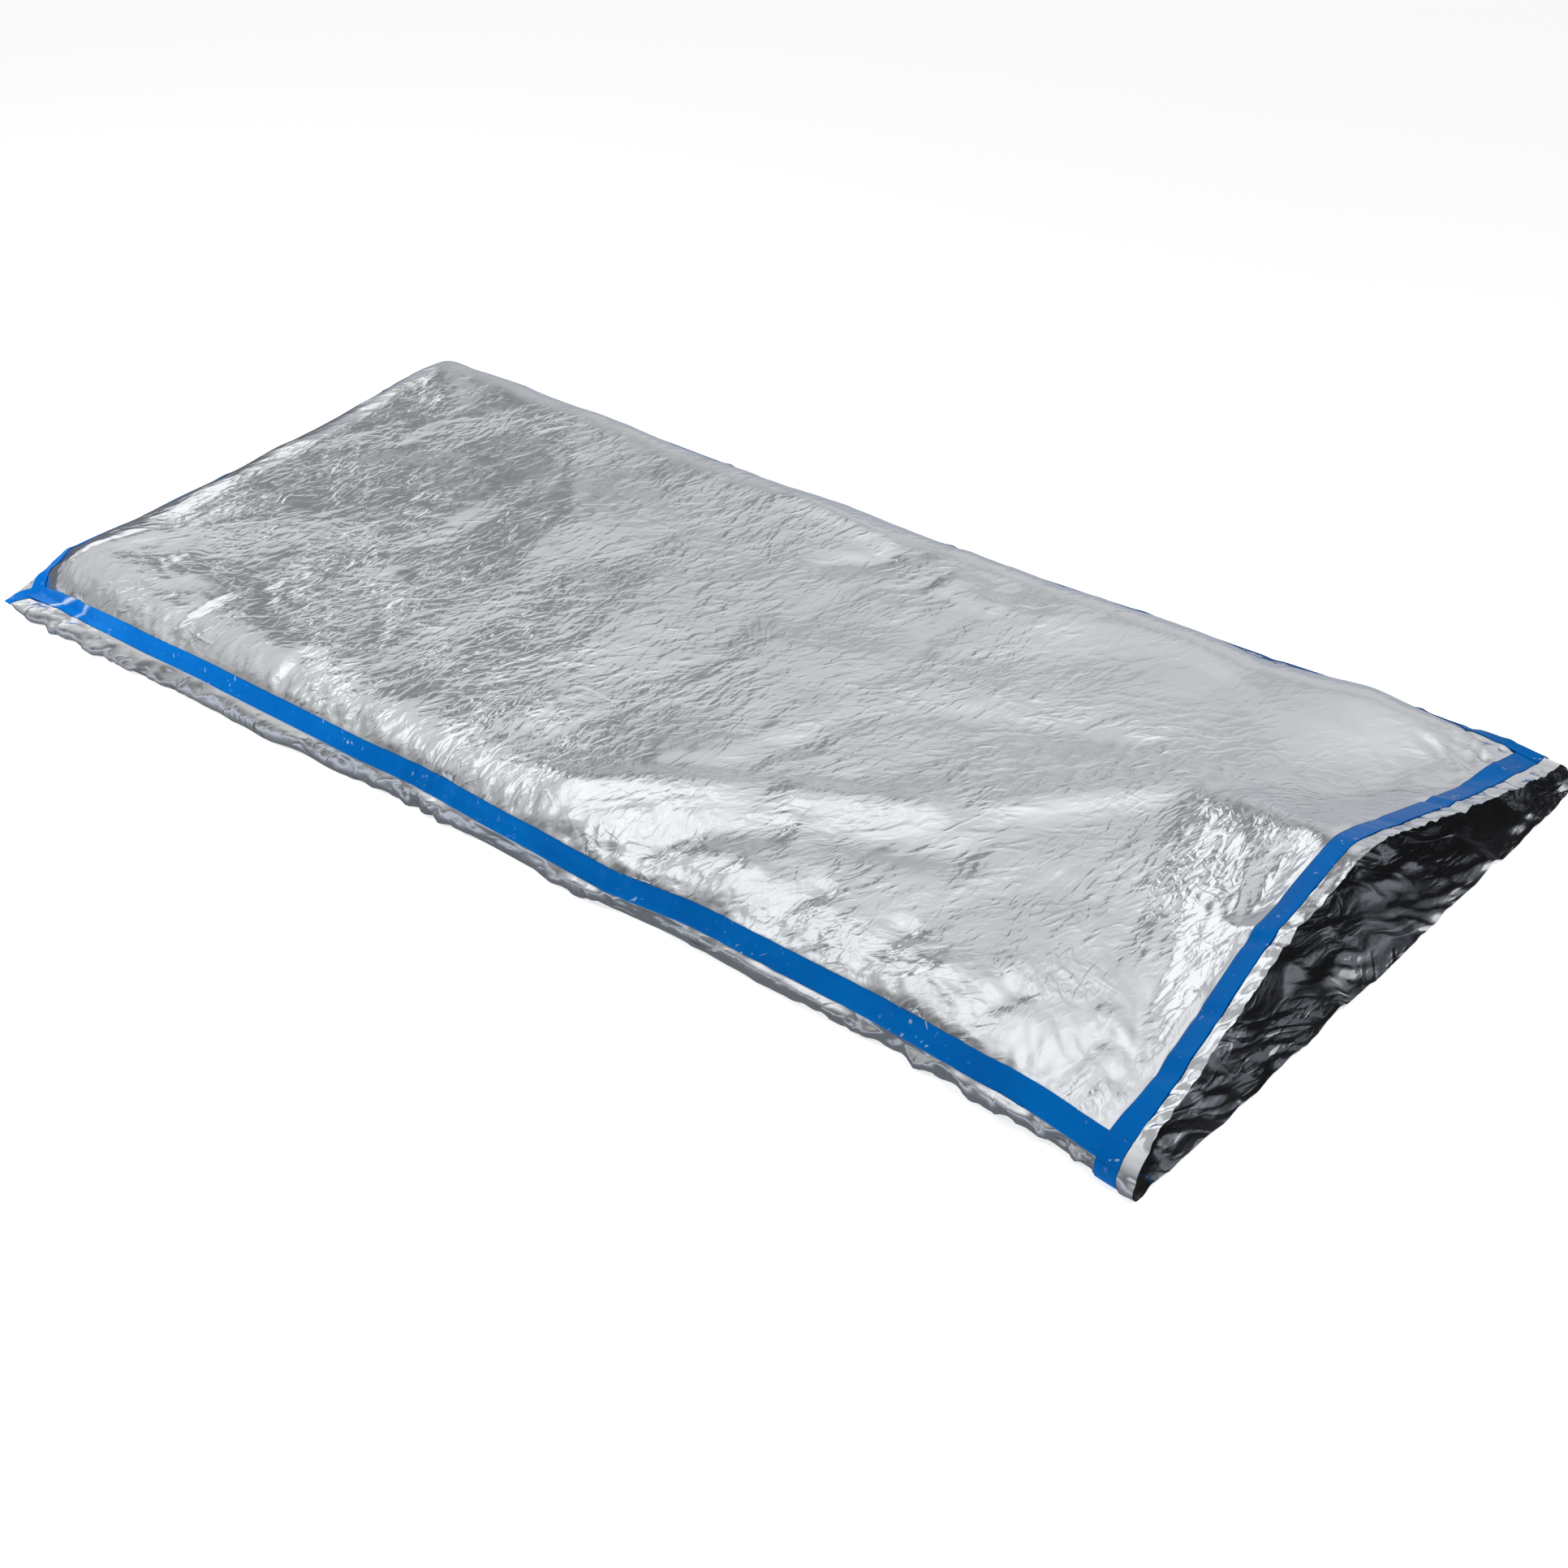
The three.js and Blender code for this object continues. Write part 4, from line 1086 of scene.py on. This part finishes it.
foot_along = shares(FOOT_COLUMNS)
foot_across = np.linspace(-1, 1, ACROSS + 1) + 0 * foot_along[:, None]
foot_points = over_seam(
    foot_rim, lambda along, w: top_form(w * FOOT_TAPE_IN, along), foot_along, foot_across
).transpose(1, 0, 2)
flap_turn, flap_t = np.meshgrid(np.linspace(-1, 1, 13), np.linspace(FLAP_FROM, 1, 11), indexing="ij")
flap_b = np.clip(-flap_turn, 0, 1) * TAPE_WIDTH / 2 / WIDTH
flap_a = np.clip(flap_turn, 0, 1) * FOOT_TAPE_IN
on_foot = (flap_turn < 0)[..., None]
near_flap = np.where(on_foot, foot_rim(flap_b, flap_t), near_rim(flap_a, flap_t))
far_flap = np.where(on_foot, foot_rim(1 - flap_b, flap_t), far_rim(flap_a, flap_t))[::-1]
under = np.full(flap_turn.shape, -0.3)  # a folded end lies just under the strip it belongs to
foot_tape = add_tape(
    "foot_tape_strip",
    "foot_tape",
    tape_part("foot_strip", foot_points, wrinkle(FOOT_WRINKLES, foot_points[..., 1]), 1),
    tape_part("near_flap", near_flap, under, 1),
    tape_part("far_flap", far_flap, under, 1),
)

# %% Mouth tape
MOUTH_COLUMNS, WALL_COLUMNS = 200, 14
WALL_FROM = 0.22  # place on the rim, from surface to seam, where the tape stops on the side walls

mouth_a = np.linspace(MOUTH_TAPE_IN, MOUTH_TAPE_OUT, ACROSS + 1)[:, None]
wall_t = np.linspace(WALL_FROM, 1, WALL_COLUMNS + 1)[None, :-1]
mouth_b = np.linspace(0, 1, MOUTH_COLUMNS + 1)[None, :]
mouth_points = np.concatenate(
    [
        near_rim(mouth_a + 0 * wall_t, wall_t + 0 * mouth_a),
        top_form(mouth_a + 0 * mouth_b, mouth_b + 0 * mouth_a),
        far_rim(mouth_a + 0 * wall_t, wall_t[:, ::-1] + 0 * mouth_a),
    ],
    axis=1,
)
mouth_y = mouth_points[..., 1]
mouth_relief = wrinkle(MOUTH_WRINKLES, mouth_y) * smooth(mouth_points[..., 2], 46, 60)
mouth_strip = tape_part("mouth_strip", mouth_points, mouth_relief, 1)
mouth_tape = add_tape("mouth_tape_strip", "mouth_tape", mouth_strip)

# %% [markdown]
# ## What each sheet was cut to
# Film doesn't stretch, so each sheet must have about the area it was cut to. The top sheet is a
# little wider than the bag, since it goes up and over; the bottom one has its turned-up rim as well.

for sheet, cut in ((top_film, 0.94 * 2.12), (base_film, 1.01 * 2.18)):
    print(sheet.name, "has", round(film_area(sheet.data) / cut, 2), "of the area it was cut to")

# %% [markdown]
# ## Floor, light and camera
# Silver film shows the room. A dome of light that is dim at the horizon and bright overhead gives
# the flat crown its even grey, and every facet that leans towards a bright part of it a white flash.
# Only mirrored rays see this dome; paper and tape get an even fill and three softboxes. The floor is
# a plain pale plane, which the film mirrors darker where the bag shades it.

# %% Floor
PAPER = (0.93, 0.93, 0.93, 1)
SEEN_TINT = (0.93, 0.99, 1.09)
SEEN_REACH = 0.8
# what the film mirrors of the floor: y in metres and brightness; dark in the bag's own shade
FLOOR_SEEN = [
    (-0.8, 0.55), (-0.6, 0.72), (-0.53, 0.62), (-0.48, 0.3),
    (-0.45, 0.16), (0.4, 0.16), (0.47, 0.46), (0.8, 0.48),
]


def seen_step(y, bright):
    red, green, blue = (part * bright for part in SEEN_TINT)
    return (y + SEEN_REACH) / (2 * SEEN_REACH), (red, green, blue, 1)


bm = bmesh.new()
bmesh.ops.create_grid(bm, x_segments=8, y_segments=8, size=20.0)
floor = add_object("floor", finished_mesh(bm, "floor"))
paper, paper_tree, paper_shader = new_material("pale_paper")
feed(paper_tree, paper_shader, {
    "Base Color": PAPER,
    "Roughness": 0.9,
    "Specular IOR Level": 0.1,
    "Emission Color": (1.0, 1.0, 1.0, 1),
    "Emission Strength": 0.66,
})
paper_spot = add_node(paper_tree, "TexCoord").outputs["Object"]
paper_y = add_node(paper_tree, "SeparateXYZ", {"Vector": paper_spot}).outputs["Y"]
across_floor = map_range(paper_tree, paper_y, from_min=-SEEN_REACH, from_max=SEEN_REACH)
seen = add_ramp(paper_tree, across_floor, [seen_step(*row) for row in FLOOR_SEEN])
mirrored_paper = add_node(paper_tree, "Emission", {"Color": seen, "Strength": 1.0})
mirrored_ray = add_node(paper_tree, "LightPath").outputs["Is Glossy Ray"]
either = {0: mirrored_ray, 1: paper_shader.outputs["BSDF"], 2: mirrored_paper.outputs["Emission"]}
surface = add_node(paper_tree, "MixShader", either).outputs["Shader"]
feed(paper_tree, paper_tree.nodes["Material Output"], {"Surface": surface})
floor.data.materials.append(paper)
print("floor", floor.dimensions[:2])

# %% Brightness of the dome
BRIGHTEST = 1.2
FILL = 0.28  # even light on paper and tape
# sine of the elevation and brightness there: behind the foot; beyond the far side, where a pale wall
# stands; and on the near side, where the room is dark
DOME_FOOT = [
    (0.0, 0.44), (0.34, 0.47), (0.438, 0.5), (0.469, 0.53), (0.5, 0.58), (0.53, 0.63),
    (0.56, 0.65), (0.643, 0.67), (0.766, 0.74), (0.85, 0.82), (1.0, 1.05),
]
DOME_FAR = [(0.0, 0.62), (0.34, 0.65), (0.5, 0.66), (0.64, 0.76), (0.77, 0.84), (1.0, 1.1)]
DOME_NEAR = [(0.0, 0.11), (0.34, 0.2), (0.6, 0.4), (0.8, 0.68), (1.0, 1.1)]
# direction, and the degrees from it at which a part of the dome starts and is full
FAR_WALL = ((-0.30, 0.954, 0.0), 34, 16)
NEAR_SIDE = ((0.74, -0.67, 0.0), 120, 64)
FOOT_SHADE = ((-0.791, 0.457, 0.407), 15, 3)  # a dim corner of the room behind the foot
LOW_LIGHT = ((-0.917, 0.316, 0.242), 16, 8)  # a low light beyond the foot
FOOT_DIM, LOW_BRIGHT = 0.25, 1.15
print("dome of", len(DOME_FOOT), "steps behind the foot")

# %% Dome of light
world = bpy.data.worlds.new("studio")
bpy.context.scene.world = world
world.use_nodes = True
sky = world.node_tree
direction = add_node(sky, "TexCoord").outputs["Generated"]
elevation = add_node(sky, "SeparateXYZ", {"Vector": direction}).outputs["Z"]


def grey(bright):
    tone = bright / BRIGHTEST
    return (tone, tone, tone, 1)


def dome_ramp(steps):
    return add_ramp(sky, elevation, [(sine, grey(bright)) for sine, bright in steps])


def towards(way, start, full):
    """How much a direction points along way: 0 at start degrees from it, 1 at full degrees."""
    agree = dot_product(sky, direction, way)
    low, high = (math.cos(math.radians(degrees)) for degrees in (start, full))
    return map_range(sky, agree, "SMOOTHSTEP", from_min=low, from_max=high)


dome = mix_tones(sky, towards(*FAR_WALL), dome_ramp(DOME_FOOT), dome_ramp(DOME_FAR))
dome = mix_tones(sky, towards(*FOOT_SHADE), dome, grey(FOOT_DIM))
dome = mix_tones(sky, towards(*NEAR_SIDE), dome, dome_ramp(DOME_NEAR))
dome = mix_tones(sky, towards(*LOW_LIGHT), dome, grey(LOW_BRIGHT))
background = sky.nodes["Background"]
feed(sky, background, {"Color": dome, "Strength": BRIGHTEST})
fill = add_node(sky, "Background", {"Color": (1.0, 1.0, 1.0, 1), "Strength": FILL})
glossy = add_node(sky, "LightPath").outputs["Is Glossy Ray"]
either = {0: glossy, 1: fill.outputs["Background"], 2: background.outputs["Background"]}
light = add_node(sky, "MixShader", either).outputs["Shader"]
feed(sky, sky.nodes["World Output"], {"Surface": light})
world.cycles.sampling_method = "NONE"
scene = bpy.context.scene
scene.view_settings.view_transform = "Standard"
scene.view_settings.look = "None"
print("world", world.name, "with", len(sky.nodes), "nodes")

# %% Softboxes
# name, place, size, brightness, whether the film mirrors it
SOFTBOXES = [
    ("softbox", (-0.65, -0.5, 1.5), (0.85, 1.3), 0.25, True),
    ("foot_softbox", (-1.2, -0.9, 1.15), (0.6, 0.6), 15.0, False),
    ("mouth_softbox", (1.7, -0.1, 1.4), (0.6, 0.6), 11.0, False),
]
for name, place, size, bright, mirrored in SOFTBOXES:
    panel = bpy.data.lights.new(name, "AREA")
    panel.shape = "RECTANGLE"
    panel.size, panel.size_y = size
    panel.color = (0.94, 0.975, 1.0)
    panel.energy = bright * math.pi * size[0] * size[1]
    softbox = add_object(name, panel)
    softbox.location = place
    softbox.visible_camera, softbox.visible_glossy = False, mirrored
print(len(SOFTBOXES), "softboxes")

# %% Camera
CAMERA_AT = Vector((2.3899, -2.1783, 2.1644))
YAW, PITCH, ROLL = -0.8056, 0.6260, -0.1134
right = Vector((math.cos(YAW), -math.sin(YAW), 0))
ahead = Vector((math.cos(PITCH) * math.sin(YAW), math.cos(PITCH) * math.cos(YAW), -math.sin(PITCH)))
up = right.cross(ahead)
turned_right = math.cos(ROLL) * right + math.sin(ROLL) * up
turned_up = math.cos(ROLL) * up - math.sin(ROLL) * right
lens = bpy.data.cameras.new("camera")
lens.sensor_width = 36.0
lens.lens = 64.03
lens.clip_end = 100.0
camera = add_object("camera", lens)
facing = Matrix((turned_right, turned_up, -ahead)).transposed().to_4x4()
camera.matrix_world = Matrix.Translation(CAMERA_AT) @ facing
scene.camera = camera
print("camera", [round(v, 2) for v in camera.location])
